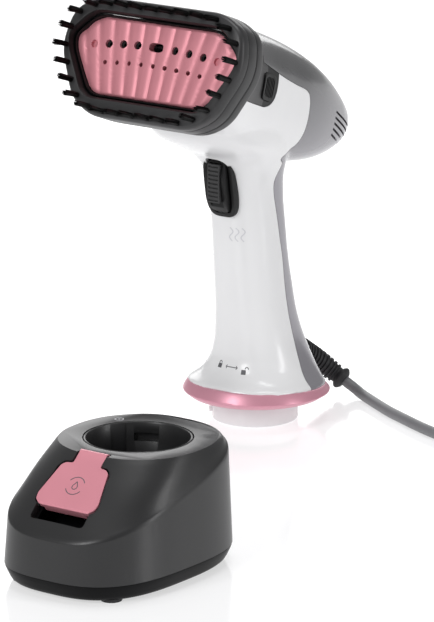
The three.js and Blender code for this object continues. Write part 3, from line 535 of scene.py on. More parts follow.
# Radius and level of each turn: three side by side, two in the hollows, three on top
LAYER_RISE = CORD_WIDTH * math.sqrt(3) / 2
COIL_TURNS = [
    (35 + step * CORD_WIDTH, FLOOR_LEVEL + layer * LAYER_RISE)
    for layer, steps in enumerate([(1, 0, -1), (-0.5, 0.5), (1, 0, -1)])
    for step in steps
]
STEP_OVER = 0.28  # share of a turn over which the cord moves to the next place
COIL_STEPS = 36  # points in a turn


def ease(t):
    return t * t * (3 - 2 * t)


def coil_points():
    whole = len(COIL_TURNS) - 1 + (COIL_END - COIL_START) / (2 * math.pi)
    points = []
    for i in range(int(whole * COIL_STEPS) + 1):
        turn = i / COIL_STEPS
        now = min(int(turn), len(COIL_TURNS) - 1)
        after = min(now + 1, len(COIL_TURNS) - 1)
        share = ease(max(0.0, (turn - now - 1 + STEP_OVER) / STEP_OVER))
        radius, high = (a * (1 - share) + b * share
                        for a, b in zip(COIL_TURNS[now], COIL_TURNS[after]))
        angle = COIL_START + turn * 2 * math.pi
        points.append((COIL_X + radius * math.cos(angle), COIL_Y + radius * math.sin(angle), high))
    return points


def make_cord(pieces_on_it):
    line = [*CORD_ROUTE, *coil_points(), *TAIL_ROUTE]
    path = [HANDSET @ p for p in smooth_line(line, 3)]
    cord = tube(path, [CORD_WIDTH * MM / 2] * len(path), 14)
    finished(cord, "mains_cord", Matrix(), None, "cord_sheath",
             ["cord_run", "cord_coil", "cord_tail"])
    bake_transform(cord)


def make_tie():
    """Soft band over the coil's far side, its ends tucked down to the floor."""
    inner, outer, top, thick, half_width = 25.2, 44.8, 17.3, 1.3, 4.5
    outline = [(inner, 0.2), (inner, top - 3), (inner + 3, top), (outer - 3, top),
               (outer, top - 3), (outer, 0.2)]
    middle = smooth_line([Vector((x, 0, z)) for x, z in outline], 6)
    rings = []
    for before, point, after in neighbours(middle):
        ahead = (after - before).normalized()
        out = Vector((-ahead.z, 0, ahead.x))
        rings.append([point + out * u * thick / 2 + Vector((0, v * half_width, 0))
                      for u, v in superellipse(1, 1, 5, 24)])
    return finished(loft(rings), "cord_tie_band", HANDSET @ at(COIL_X, COIL_Y, 0, 90, "Z"),
                    "tank", "soft_black", ["cord_tie"])


PLUG_HEADING, PLUG_START = -10.2, 1.2  # degrees round, and how far past the cord's end
PLUG = HANDSET @ at(*TAIL_ROUTE[-1], PLUG_HEADING, "Z") @ at(PLUG_START, 0, 0) @ Matrix(
    ((0, 0, 1, 0), (1, 0, 0, 0), (0, 1, 0, 0), (0, 0, 0, 1))
)  # x across the plug, y up, z on towards its pins


def make_plug():
    """Moulded plug lying on the coil, with a ribbed neck and two pins."""
    rings = []
    rows = [(0, 4.2), (5, 4.6), (9.5, 5.4), (12.5, 9.4), (20, 15.6), (27, 17.6), (34, 18),
            (37, 17.6)]
    for z, half in smooth_rows(rows, 56):
        rib = 0.5 if z < 9 and int(z / 1.4) % 2 else 0.0
        round_off = max(0.0, z - 36) * 0.8
        wide = half + rib - round_off
        rings.append(level(superellipse(wide, min(wide, 9.2 - round_off), 2.6, 64), z))
    body = loft(rings)
    cut(body, *(block((1.2, 30, 9), (side * 18.1, 0, 27)) for side in (-1, 1)))
    finished(body, "plug_body", PLUG, "tank", "cord_sheath", ["mains_plug"])
    pin = [(2.4, 36.5), (2.4, 54), (2.1, 55.2), (1.4, 56)]
    pair = joined(*(moved(turned(pin, 32), at(x, 0, 0)) for x in (-9.5, 9.5)))
    finished(pair, "plug_pins", PLUG, "tank", "steel")
    return [body, pair]


def make_strain_relief():
    """Tapered rubber boot with ribs and a bead at its end."""
    route = [(0, 31, 37.4), (0, 40, 32), (1, 49, 26.6), (4.5, 57, 20.6), (10.4, 62.4, 14.2),
             (18, 64.4, 9)]
    line = smooth_line(route, 24)
    radii = []
    for i in range(len(line)):
        share = i / (len(line) - 1)
        ribbed = 0.26 < share < 0.88
        rib = 0.9 if ribbed and (share * 17) % 1 < 0.58 else 0.0
        bead = 2.2 * math.sin(math.pi * min(1, max(0, (share - 0.89) / 0.11)))
        radii.append(7.3 - 2.9 * share + rib + bead)
    finished(tube(line, radii, 28), "cord_boot", HANDSET, "handset", "rubber",
             ["strain_relief"], sharp=50)


make_cord([*make_plug(), make_tie()])
make_strain_relief()

# ---------------- tank

TANK_HEIGHT, BASE_TOP, TANK_Y = 66, 10, -18
TANK_HALF_X, TANK_HALF_Y, SIDE_POWER = 48.5, 61, 2.9
TANK_POINTS = 144  # in each ring of the skin
FRONT_SCALE, WALL_LEAN, SHOULDER_SCALE = 0.93, 0.035, 0.955
SHOULDER_FRONT, SHOULDER_RISE, SWELL = 31, 33, 1.6
RIM_RADIUS, RIM_POWER = 39.5, 2.3
SOCKET_BORE, SOCKET_CUP, SOCKET_FLOOR = 25, 28.4, 44
BAYONET_TURNS = (30, 150, 270)
LOCK_WINDOW_TURN = 117.5  # of the window high in the socket's wall
GAP = 0.3
SLOPE_ANGLE = 41
# x across, y down the filler face, z out of it
SLOPE = at(0, -33, 66.2, SLOPE_ANGLE) @ Matrix.Diagonal((-1, -1, 1, 1))
WELL_HALF_X, WELL_START, WELL_END, WELL_DEPTH = 16.4, 13.5, 46, 17
FLAP_HINGE, FLAP_STRAP, FLAP_WIDTH, FLAP_START, FLAP_END = 3, 17, 38, 11, 37.5
RIM_MARK_TURN, RIM_MARK_RADIUS = 144, 33.6  # place of the lock mark, round the socket's axis


def tank_ring(part):
    """One level of the skin: 0 is the wall's foot, 1 the shoulder line, 2 the top rim."""
    base = superellipse(TANK_HALF_X, TANK_HALF_Y, SIDE_POWER, TANK_POINTS)
    rim = superellipse(RIM_RADIUS, RIM_RADIUS, RIM_POWER, TANK_POINTS)
    ring = []
    for (x, y), (rim_x, rim_y) in zip(base, rim):
        backness = (y + TANK_HALF_Y) / (2 * TANK_HALF_Y)
        x *= FRONT_SCALE + (1 - FRONT_SCALE) * backness
        shoulder = SHOULDER_FRONT + SHOULDER_RISE * backness**0.9
        if part <= 1:
            lean = 1 - WALL_LEAN * part
            high = BASE_TOP + (shoulder - BASE_TOP) * part
            ring.append(Vector((x * lean, TANK_Y + y * lean, high)))
            continue
        share = part - 1
        start_x, start_y = x * SHOULDER_SCALE, TANK_Y + y * SHOULDER_SCALE
        high = shoulder + (TANK_HEIGHT - shoulder) * share + SWELL * math.sin(math.pi * share)
        ring.append(Vector((start_x + (rim_x - start_x) * share,
                            start_y + (rim_y - start_y) * share, high)))
    return ring


def shrunk_ring(part, scale_x, scale_y, drop, middle_y=TANK_Y):
    """A level of the skin drawn in towards its middle and let down."""
    return [Vector((p.x * scale_x, (p.y - middle_y) * scale_y + middle_y, p.z - drop))
            for p in tank_ring(part)]


def softened(rings):
    """Rounds the skin across the rings by cutting corners three times. The end rings stay."""
    for _ in range(3):
        fresh = [rings[0]]
        for low, high in zip(rings, rings[1:]):
            fresh.append([a * 0.75 + b * 0.25 for a, b in zip(low, high)])
            fresh.append([a * 0.25 + b * 0.75 for a, b in zip(low, high)])
        rings = [*fresh, rings[-1]]
    return rings


def on_slope(thing):
    return moved(thing, SLOPE)


def flap_outline(grow):
    """Outline of the flap and its strap on the filler face, grown all round."""
    half, strap = FLAP_WIDTH / 2 + grow, FLAP_STRAP / 2 + grow
    top, start, end = FLAP_HINGE - 1.5 - grow, FLAP_START - grow, FLAP_END + grow
    right = [(strap, top), (strap, start), (half - 6.4, start + 0.4), (half - 4.2, start + 2.2),
             (half, end - 6), (half - 0.6, end - 2.4), (half - 3.4, end)]
    return rounded_outline(right, 1.2, 0, 4)


def make_tank_shell():
    skin = loft(softened([tank_ring(part) for part in (0, 0.5, 0.9, 1, 1.1, 1.5, 1.9, 2)]))
    hollow = loft([shrunk_ring(0, 0.94, 0.95, 1), shrunk_ring(1, 0.93, 0.94, 4),
                   shrunk_ring(2, 0.9, 0.9, 4, 0)])
    cut(
        hollow,
        disc(SOCKET_CUP + GAP + 2.5, SOCKET_FLOOR - 1, TANK_HEIGHT + 5),
        on_slope(block((2 * WELL_HALF_X + 5, WELL_END - WELL_START + 5, WELL_DEPTH + 20),
                       (0, (WELL_START + WELL_END) / 2, 2.5))),
        on_slope(prism(flap_outline(3), -2.6, 12)),
    )
    cut(
        skin,
        hollow,
        disc(SOCKET_CUP + GAP, SOCKET_FLOOR - 4, TANK_HEIGHT + 5),
        on_slope(prism(rounded_outline([(WELL_HALF_X + GAP, WELL_START - GAP),
                                        (WELL_HALF_X + GAP, WELL_END + GAP)], 2.5, 0, 6),
                       -WELL_DEPTH, 12)),
        on_slope(prism(flap_outline(0.7), -0.2, 12)),
    )
    bevelled(skin, 0.45, 3)
    finished(skin, "tank_body", TANK, "tank", "tank_grey", ["tank_shell"])


def make_base_tray():
    steps = [(5.5, 1.2), (4.4, 1.6), (3.2, 2.6), (2.4, 4), (1.3, 6.4), (0.4, 8.6), (0.2, 9.7)]
    tray = loft([shrunk_ring(0, 1 - inset / TANK_HALF_X, 1 - inset / TANK_HALF_Y, BASE_TOP - z)
                 for inset, z in steps])
    finished(tray, "tank_foot_tray", TANK, "tank", "base_black", ["tank_base_tray"], sharp=50)


def make_socket():
    """Cup for the handset's spigot: a rounded rim, three bayonet recesses and a window."""
    bore, cup, floor = SOCKET_BORE, SOCKET_CUP, SOCKET_FLOOR
    top = TANK_HEIGHT + 0.1
    profile = [
        (4.6, floor), (cup, floor), (cup, top - 1.2), (cup - 0.4, top - 0.3), (cup - 0.9, top),
        (bore + 2.1, top - 0.2), (bore + 1.8, top - 0.8), (bore + 1.2, top - 9),
        (bore, floor + 3.4), (bore - 0.9, floor + 2.5), (12, floor + 2.5), (12, floor + 5.5),
        (4.6, floor + 5.5),
    ]
    cup_piece = turned_ring(profile, 144)
    tools = []
    for turn in BAYONET_TURNS:
        tools.append(turned_block((2.4, 9, 30), (bore + 0.6, 0, top - 13.8), turn))
        tools.append(turned_block((2.4, 16, 5), (bore + 0.2, 6, top - 16.8), turn))
    tools.append(turned_block((6, 13, 4.4), (bore + 2.4, 0, top - 8), LOCK_WINDOW_TURN))
    cut(cup_piece, *tools)
    bevelled(cup_piece, 0.25)
    finished(cup_piece, "spigot_socket", TANK, "tank", "tank_grey", ["docking_socket"])


def make_flap():
    """Filler flap with its strap, hinge barrel and lip, its end bevelled for a finger."""
    leaf = on_slope(prism(flap_outline(0), 0.1, 3))
    cut(leaf, on_slope(block((30, 2 * FLAP_HINGE, 12))))
    barrel_turn = at(0, FLAP_HINGE + 0.4, 1.5, 90, "Y")
    barrel = on_slope(moved(disc(1.7, -FLAP_STRAP / 2, FLAP_STRAP / 2, 48), barrel_turn))
    lip = on_slope(block((2 * WELL_HALF_X - 6, 2.4, 4), (0, FLAP_END - 1.2, -1)))
    joined(leaf, barrel, lip)
    cut(leaf, on_slope(moved(disc(1.05, -20, 20, 32), barrel_turn)))
    cut(leaf, on_slope(moved(block((60, 9, 4)), at(0, FLAP_END + 1.6, 3.6, -38))))
    bevelled(leaf, 0.55, 3)
    finished(leaf, "flap_leaf", TANK, "filler_flap", "satin_pink", ["filler_flap"])


def make_drop_mark():
    """Water drop in a broken circle, printed on the flap."""
    middle_y = (FLAP_START + FLAP_END) / 2 - 0.5
    up = (SLOPE.to_3x3() @ Vector((0, 0, 1))).normalized()

    def place(u, v):
        return SLOPE @ Vector((u, middle_y - v, 3)), up

    drop = [(0, 2.6), *arc(0, -0.6, 1.5, 30, -210), (0, 2.6)]
    arcs = [arc(0, 0, 5.2, start, start + 120) for start in (30, 210)]
    finish_mark([stroke(line, 0.45, place) for line in (drop, *arcs)], "drop_mark", TANK,
                "filler_flap", MARK_GREY)


def make_rim_mark():
    """Small ring with a dot on the rim beside the socket, which shows where the handset locks."""
    def place(u, v):
        above = at(0, 0, 0, RIM_MARK_TURN, "Z") @ Vector((RIM_MARK_RADIUS, 0, 100))
        return rim_surface.ray_cast(above + Vector((u, v, 0)), Vector((0, 0, -1)))[:2]

    rim_surface = surface_of(bpy.data.objects["tank_body"], TANK.inverted())
    ring = stroke(arc(0, 0, 2.2, 0, 360, 40), 0.4, place)
    dot = stroke([(-0.45, 0), (0.45, 0)], 0.9, place)
    finish_mark([ring, dot], "rim_mark", TANK, "tank", MARK_PALE)


make_tank_shell()
make_base_tray()
make_socket()
make_flap()
make_drop_mark()
make_rim_mark()

# ---------------- handset casing

WALL = 2.5
# Handle sections from the base ring up: height, middle, half width, half depth, rise towards -Y
HANDLE_ROWS = [
    (20.2, 1.2, 38.4, 38.4, 0.074), (21.6, 1.5, 38.2, 38.2, 0.074), (24.4, 3.5, 34.6, 35.6, 0.06),
    (29, 5, 30.8, 32.4, 0.04), (36, 5.2, 27.4, 29.2, 0.02), (46, 3.8, 24.2, 26.4, 0),
    (60, 1, 21.8, 24.2, 0), (78, -1.8, 20.4, 23, 0), (96, -4.6, 19.6, 22.2, 0),
    (114, -6.6, 19.2, 21.8, 0), (130, -8.8, 19.2, 22, 0), (143, -10.4, 20.4, 22.6, 0),
    (153, -12.5, 24, 24, 0), (160, -17, 27.5, 27.5, 0), (167, -26, 30.5, 34, 0),
    (176, -35, 32, 41, 0), (188, -38, 32, 43, 0),
]
HANDLE_POWER = 2.25
# Barrel sections from the rear tip to the nose: place on the head's axis, top, bottom, half width
BARREL_ROWS = [
    (-194.7, 2.6, -3.8, 3), (-192.2, 6, -7, 6.5), (-185.2, 10.5, -12.6, 11.5),
    (-174.2, 15.5, -19, 16.5), (-159.2, 21.6, -25.4, 21.5), (-139.2, 27.4, -30.4, 27),
    (-116.2, 31.6, -33, 31.5), (-89.2, 34.2, -34, 34.5), (-62.2, 34.4, -33.8, 38),
    (-44.2, 33, -32.4, 42), (-28, 30.6, -30, 47), (-18, 28, -27.6, 49.4), (-9, 24.6, -23.8, 50.6),
]
BARREL_POWER = 2.5
BODY_POINTS, LEAST_HALF = 128, 0.8  # points in a section, and half its least size
SEAM = 0.35


def handset_solid(inset=0.0, steps=90):
    """Handle and head in one. An inset one runs on past the base and the nose."""
    handle = [
        [(x, y + middle, z - rise * y)
         for x, y in superellipse(half_x - inset, half_y - inset, HANDLE_POWER, BODY_POINTS)]
        for z, middle, half_x, half_y, rise in smooth_rows(HANDLE_ROWS, steps)
    ]
    barrel = []
    for z, top, bottom, half_x in smooth_rows(BARREL_ROWS, steps):
        half_y = max((top - bottom) / 2 - inset, LEAST_HALF)
        outline = superellipse(max(half_x - inset, LEAST_HALF), half_y, BARREL_POWER, BODY_POINTS)
        barrel.append([(x, y + (top + bottom) / 2, z + inset * 0.6) for x, y in outline])
    if inset:
        handle.insert(0, [(x, y, z - 6) for x, y, z in handle[0]])
        barrel.append([(x, y, z + 6) for x, y, z in barrel[-1]])
    return joined(loft(handle), moved(loft(barrel), TO_HEAD))


def smoothed_body():
    """The outside of the handset, with the root of the handle blended into the head."""
    body = handset_solid()
    remesh = body.modifiers.new("remesh", "REMESH")
    remesh.mode = "VOXEL"
    remesh.voxel_size = 1.0
    remesh.use_smooth_shade = True
    smooth = body.modifiers.new("smooth", "SMOOTH")
    smooth.factor = 0.6
    smooth.iterations = 14
    return bake(body)


def head_to_side(z, y):
    point = TO_HEAD @ Vector((0, y, z))
    return (point.y, point.z)


# The side seam, from the head's top edge back along the head and down the handle
SEAM_POINTS = [
    head_to_side(z, y)
    for z, y in [(-52, 15), (-66, 13), (-80, 11), (-94, 9.6), (-107.2, 8.4), (-112.2, 4),
                 (-114.8, -7), (-115.6, -19), (-112.7, -26), (-105.2, -31.5)]
] + [
    (-7, 152), (-10, 143), (-9, 134), (-6, 123), (-3, 108), (-0.6, 96), (0.8, 78), (2.4, 66),
    (4.3, 53), (5, 45), (4.6, 34), (2, 20), (1, 5),
]
# Dark sleeve behind the brush frame, with a round-cornered tab down each side
TAB_POINTS = [head_to_side(z, y) for z, y in
              [(20, -9.6), (-60, -8.4), (-66, -6.6), (-70, -3), (-71.7, 2)]]


def flat_line(points, per_span=6):
    return [(p.x, p.y) for p in smooth_line([(y, z, 0) for y, z in points], per_span)]


def rear_outline(gap=0.0):
    """Everything behind the side seam, moved out by the gap."""
    seam = flat_line(SEAM_POINTS)
    shifted = []
    for before, (y, z), after in neighbours(seam):
        run = math.dist(before, after)
        shifted.append((y + gap * (after[1] - before[1]) / run,
                        z - gap * (after[0] - before[0]) / run))
    top = head_to_side(-52 + gap, 90)
    return [top, *shifted, (160, 5), (160, 340)]


def housing_outline(gap=0.0):
    lower = [(y, z - gap) for y, z in flat_line(TAB_POINTS[1:], 4)]
    return [head_to_side(20, 90), (TAB_POINTS[0][0], TAB_POINTS[0][1] - gap), *lower,
            head_to_side(-71.7, 90)]


VENTS, VENT_WIDTH, VENT_LENGTH, VENT_SPACING = 5, 1.3, 32, 3.3
VENT_TOP, VENT_Z, VENT_FALL = 1, -170, 8


def vent_slots():
    """Fine slots along both sides of the barrel's rear, falling towards its tip."""
    slots = []
    for i in range(VENTS):
        slot = moved(block((120, VENT_WIDTH, VENT_LENGTH)),
                     at(0, VENT_TOP - i * VENT_SPACING, VENT_Z, -VENT_FALL))
        cut(slot, block((14, 80, 80), (0, 0, VENT_Z)))
        slots.append(moved(slot, TO_HEAD))
    return slots


TRIGGER_BOTTOM, TRIGGER_TOP, TRIGGER_HALF_X, TRIGGER_RIM = 126, 157.5, 7, 2.8
TAB_BLACK_Z = -57  # the sleeve's two tabs are black behind this
LATCH_INNER, LATCH_PROUD, LATCH_Y, LATCH_Z, LATCH_SIZE = 34.6, 0.8, 2.6, -60, 15


def trigger_column(grow):
    """Rounded upright slab from front to back, grown all round from the trigger's outline."""
    half_z = (TRIGGER_TOP - TRIGGER_BOTTOM) / 2
    outline = superellipse(TRIGGER_HALF_X + grow, half_z + grow, 4)
    return moved(prism(outline, 0, 40), at(0, -20, (TRIGGER_TOP + TRIGGER_BOTTOM) / 2, 90))


def screw_holes():
    return [moved(disc(3.4, -12, 12, 32), at(0, y, z, turn))
            for y, z, turn in ((29, 62, 88), (16, 122, 80))]


def make_casing(outside):
    shell = cut(copy_of(outside), handset_solid(WALL, 60))
    front = cut(copy_of(shell), side_slab(rear_outline(SEAM)), side_slab(housing_outline(SEAM)),
                trigger_column(0.9))
    finished(front, "front_shell", HANDSET, "handset", "gloss_white", ["front_casing"])

    boot_hole = moved(disc(8.3, -14, 14, 48), at(0, 36, 33, 58))
    rear = kept_inside(copy_of(shell), side_slab(rear_outline()))
    cut(rear, *vent_slots(), *screw_holes(), boot_hole)
    finished(rear, "rear_shell", HANDSET, "handset", "cover_grey", ["rear_cover"])

    windows = [latch_block(side, GAP, LATCH_INNER - 4, 14) for side in (-1, 1)]
    housing = kept_inside(shell, side_slab(housing_outline()))
    cut(housing, side_slab(rear_outline(SEAM)), *windows)
    finished(housing, "head_sleeve", HANDSET, "handset", "frame_grey", ["head_housing"])
    blacken_tabs(housing)


def blacken_tabs(housing):
    """Gives the rear end of the sleeve's two tabs the soft black finish."""
    to_head = HEAD.inverted()
    edge, ahead = HEAD @ Vector((0, 0, TAB_BLACK_Z)), HEAD.to_3x3() @ Vector((0, 0, 1))
    shape = bmesh.new()
    shape.from_mesh(housing.data)
    bmesh.ops.bisect_plane(shape, geom=[*shape.verts, *shape.edges, *shape.faces], dist=1e-7,
                           plane_co=edge, plane_no=ahead.normalized())
    for face in shape.faces:
        face.material_index = int((to_head @ face.calc_center_median()).z < TAB_BLACK_Z)
    shape.to_mesh(housing.data)
    shape.free()
    housing.data.materials.append(FINISH["soft_black"])


def latch_block(side, grow, inner=LATCH_INNER, reach=10):
    """Round-cornered block across one side of the head, in the handset's axes."""
    half = LATCH_SIZE / 2 + grow
    return moved(prism(superellipse(half, half, 5, 64), inner, inner + reach),
                 TO_HEAD @ at(0, LATCH_Y, LATCH_Z, side * 90, "Y"))


def make_latch_buttons():
    """Two press tabs that follow the head's side, each with a sunk and finely ribbed pad."""
    for name, side in (("left", -1), ("right", 1)):
        button = kept_inside(latch_block(side, 0), handset_solid(-LATCH_PROUD, 60))
        pad = cut(latch_block(side, -2), handset_solid(-0.2, 60))
        ribs = [moved(block((30, LATCH_SIZE, 0.7), (side * 40, LATCH_Y, LATCH_Z + step * 1.9)),
                      TO_HEAD) for step in (-2, -1, 0, 1, 2)]
        cut(pad, *ribs)
        cut(button, pad)
        bevelled(button, 0.3, 2)
        finished(button, f"latch_cap_{name}", HANDSET, f"latch_{name}", "soft_black",
                 [f"latch_button_{name}"])


# ---------------- head

PLATE_CORNERS = [(41, 22.5), (54, 10), (52.4, 2.6), (38, -20.2)]
FRAME_CORNERS = [(42, 33), (57, 24.8), (61.5, 3.6), (47.5, -24.8), (33, -33)]
PLATE_ROUND, FRAME_ROUND = 7, 14  # reach of the rounding along a corner's sides
PLATE_FRONT, PLATE_BACK, HOLE_ROW, SMALL_ROW = -3, -8, 9.5, -0.8
HOLE_PITCH, SMALL_PITCH, MIDDLE_ROOM = 9.6, 8, 3
JETS = 3  # big holes on each side of the middle slot, with a dimple beyond them
FAN_DROP = 150  # how far below the face's middle the flutes would meet
FLUTE_DEPTH = 0.8
BRUSH_FRONT, BRUSH_LIP, BRUSH_BACK, BRUSH_BACK_SCALE = 1.5, -5, -22, (0.965, 0.985)
BRISTLE_LENGTH, TUFTS, TUFT_RADIUS, FIBRES, FIBRE_SIDES = 12.5, 29, 1.4, 46, 5
FIBRE_TAPER = ((0, 0.26), (0.5, 0.26), (0.85, 0.22), (1, 0.12))  # place along it, and radius
SURROUND_WIDTH = 1.5


def plate_outline(grow, steps=10):
    return rounded_outline(PLATE_CORNERS, PLATE_ROUND, grow, steps)


def frame_outline(grow, scale=(1, 1)):
    return [(x * scale[0], y * scale[1])
            for x, y in rounded_outline(FRAME_CORNERS, FRAME_ROUND, grow, 14)]


def flute(x, y):
    """Depth of the fluted face: rounded pleats that fan out upwards, with sharp valleys."""
    place = x / (y + FAN_DROP) * (HOLE_ROW + FAN_DROP) / HOLE_PITCH
    share = place % 1
    return FLUTE_DEPTH * ((2 * share - 1) ** 2) ** 1.4


def arch(x):
    return -0.0016 * x * x


def steam_row(count):
    """Places along the row of big holes, left ones first."""
    return [side * (i * HOLE_PITCH + MIDDLE_ROOM) for side in (-1, 1) for i in range(1, count + 1)]


def plate_body():
    edge = []
    for start, end in round_pairs(plate_outline(0)):
        pieces = max(1, int(math.dist(start, end) / 0.6))
        edge += [(start[0] + (end[0] - start[0]) * k / pieces,
                  start[1] + (end[1] - start[1]) * k / pieces) for k in range(pieces)]
    rings = [level([(x * 0.99, y * 0.99) for x, y in edge], PLATE_BACK),
             level(edge, PLATE_BACK + 1), level(edge, PLATE_FRONT - 1.6)]
    steps = 34
    for step in range(steps):
        scale = max(0.996 - step / steps, 0.004)
        rounding = 0.9 * max(0.0, 1 - step / 1.5)
        inner = [(x * scale, y * scale) for x, y in edge]
        rings.append([(x, y, PLATE_FRONT - rounding - flute(x, y)) for x, y in inner])
    return loft(rings)


def make_plate():
    """Soleplate with its fanned flutes, steam holes, middle slot and end dimples."""
    def hole(x, row, radius, floor=-20):
        return moved(disc(radius, floor, PLATE_FRONT + 3, 28), at(x, row + arch(x), 0))

    tools = []
    for x in steam_row(JETS + 1):
        dimple = x not in steam_row(JETS)
        tools.append(hole(x, HOLE_ROW, *((2.2, PLATE_FRONT - 1.9) if dimple else (2.3,))))
    tools += [hole(i * SMALL_PITCH, SMALL_ROW, 1.3) for i in range(-4, 5)]
    tools.append(prism([(x, y + HOLE_ROW) for x, y in superellipse(4.7, 2.5, 3.4, 48)], -20, 3))
    finished(cut(plate_body(), *tools), "fluted_plate", HEAD, "handset", "plate_metal",
             ["soleplate"], sharp=40)

    collar = [(0.9, -7), (2.2, -7), (2.2, -4.9), (1.7, -4.6), (0.9, -5.2)]
    collars = joined(*(moved(turned_ring(collar, 28), at(x, HOLE_ROW + arch(x), 0))
                       for x in steam_row(JETS)))
    finished(collars, "jet_collars", HEAD, "handset", "soft_black")


def make_surround():
    """Black band round the plate."""
    rings = [level(plate_outline(grow), z) for grow, z in [
        (SURROUND_WIDTH, PLATE_BACK - 0.6), (SURROUND_WIDTH, PLATE_FRONT - 0.6),
        (SURROUND_WIDTH - 0.3, PLATE_FRONT + 0.3), (SURROUND_WIDTH - 0.9, PLATE_FRONT + 0.6),
        (0.6, PLATE_FRONT + 0.4), (0.3, PLATE_FRONT - 0.4), (0.3, PLATE_BACK - 0.6)]]
    finished(hoop(rings), "plate_band", HEAD, "handset", "soft_black", ["plate_surround"])


def nose_room():
    """The nose of the barrel with some play round it, to cut from the frame's back."""
    widest = BARREL_ROWS[-1][3] + 0.5
    rings = []
    for z, top, bottom, _ in smooth_rows(BARREL_ROWS[-4:], 24):
        outline = superellipse(widest, (top - bottom) / 2 + 0.5, BARREL_POWER, 128)
        rings.append([(x, y + (top + bottom) / 2, z) for x, y in outline])
    rings.append([(x, y, z + 0.6) for x, y, z in rings[-1]])
    return loft(rings)


def make_brush_frame():
    """Flared frame with a rounded rim, two fine grooves round its side and a stepped opening."""
    profile = [
        (0.0, BRUSH_BACK, 1.0), (0.3, BRUSH_BACK + 1.5, 0.93), (0.4, -15.2, 0.6),
        (-0.25, -14.8, 0.58), (-0.25, -14.2, 0.56), (0.35, -13.8, 0.54), (0.2, -9, 0.25),
        (-0.1, -6.4, 0.08), (-0.75, -6.0, 0.0), (-0.75, -5.4, 0.0), (0.0, -5.0, 0.0),
        (0.0, -1.4, 0.0), (-0.25, -0.2, 0.0), (-0.9, 0.9, 0.0), (-1.8, BRUSH_FRONT, 0.0),
    ]
    rings = []
    for grow, z, backness in profile:
        scale = [1 - backness * (1 - side) for side in BRUSH_BACK_SCALE]
        rings.append(level(frame_outline(grow, scale), z))
    carrier = loft(rings)
    opening = loft([level(plate_outline(grow, 14), z) for grow, z in [
        (SURROUND_WIDTH + 0.5, BRUSH_BACK - 1), (SURROUND_WIDTH + 0.5, -1.2),
        (SURROUND_WIDTH + 1.7, BRUSH_FRONT + 0.4)]])
    cavity = loft([level(frame_outline(-2.4, BRUSH_BACK_SCALE), BRUSH_BACK - 1),
                   level(frame_outline(-2.6, (0.97, 1)), BRUSH_LIP - 2.6)])
    cut(carrier, opening, cavity, nose_room())
    bevelled(carrier, 0.35, 3)
    finished(carrier, "brush_carrier", HEAD, "brush", "frame_grey", ["brush_frame"])
    # The frame's inner wall is painted black: painted shade in the opening.
    paint_opening_shade(carrier)


def paint_opening_shade(carrier):
    """Paints shade into the frame's opening: the inner wall's faces, which look towards the
    middle, get the soft black material as painted shade.
    """
    carrier.data.materials.append(FINISH["soft_black"])
    to_head = HEAD.inverted()
    for face in carrier.data.polygons:
        middle = to_head @ face.center
        looks = (to_head.to_3x3() @ face.normal).normalized()
        if looks.x * middle.x + looks.y * middle.y < -0.4 * math.hypot(middle.x, middle.y):
            face.material_index = 1


def tuft_places():
    """Evenly spaced places round the frame's rim."""
    outline = frame_outline(-3.4)
    pitch = sum(math.dist(a, b) for a, b in round_pairs(outline)) / TUFTS
    places = []
    walked, wanted = 0.0, 0.0
    for a, b in round_pairs(outline):
        length = math.dist(a, b)
        while wanted < walked + length - 1e-6 and len(places) < TUFTS:
            share = (wanted - walked) / length
            places.append((a[0] + (b[0] - a[0]) * share, a[1] + (b[1] - a[1]) * share))
            wanted += pitch
        walked += length
    return places


def make_bristles():
    """Rows of bristle tufts, each a bundle of fibres that splays and ends unevenly."""
    draw = random.Random(7)
    round_fibre = superellipse(1, 1, 2, FIBRE_SIDES)
    vertices, faces = [], []
    for x, y in tuft_places():
        lean = (draw.uniform(-0.5, 0.5), draw.uniform(-0.9, 0.3))
        for _ in range(FIBRES):
            angle, out = draw.uniform(0, 2 * math.pi), math.sqrt(draw.random())
            foot = Vector((math.cos(angle), math.sin(angle), 0)) * out * TUFT_RADIUS
            splay = foot * draw.uniform(0.1, 0.35) + Vector((*lean, 0))
            tall = BRISTLE_LENGTH * draw.uniform(0.9, 1.0) - 0.3
            faces += skin_faces(FIBRE_SIDES, len(FIBRE_TAPER), len(vertices))
            for share, thick in FIBRE_TAPER:
                middle = Vector((x, y, BRUSH_FRONT - 0.4)) + foot + splay * share**2
                middle.z += (tall + 0.4) * share
                vertices += [middle + Vector((u * thick, v * thick, 0)) for u, v in round_fibre]
    finished(mesh_object(vertices, faces), "bristle_tufts", HEAD, "brush", "soft_black",
             material=BRISTLE)


# ---------------- trigger

TRIGGER_PIN_Z, TRIGGER_PROUD = 152.5, 6.5
LOCK_HALF_X, LOCK_DEPTH, LOCK_Y, LOCK_HEIGHT, LOCK_TRAVEL = 4, 4.4, -38.3, 22, 4.5
LOCK_MIDDLE = (TRIGGER_TOP + TRIGGER_BOTTOM + LOCK_TRAVEL) / 2


def trigger_seat(z):
    """Front of the handle behind the trigger, in the side view."""
    return -29.3 - (z - 121) * 0.155


def seat_line(*points):
    """Side view points from heights and how far each stands forward of the seat."""
    return [(trigger_seat(z) - lift, z) for z, lift in points]


def make_trigger_surround(outside):
    low, high = TRIGGER_BOTTOM - TRIGGER_RIM, TRIGGER_TOP + TRIGGER_RIM
    front = flat_line(seat_line((low, 1.2), (TRIGGER_BOTTOM + 8, 2.8), (TRIGGER_TOP - 6, 2.8),
                                (high, 1.2)))
    surround = kept_inside(trigger_column(TRIGGER_RIM),
                           side_slab([*front, (-10, high + 1), (-10, low - 1)]))
    cut(surround, trigger_column(0.9), moved(copy_of(outside), at(0, -GAP, 0)))
    bevelled(surround, 0.5, 3)
    finished(surround, "trigger_bezel", HANDSET, "handset", "soft_black", ["trigger_surround"])


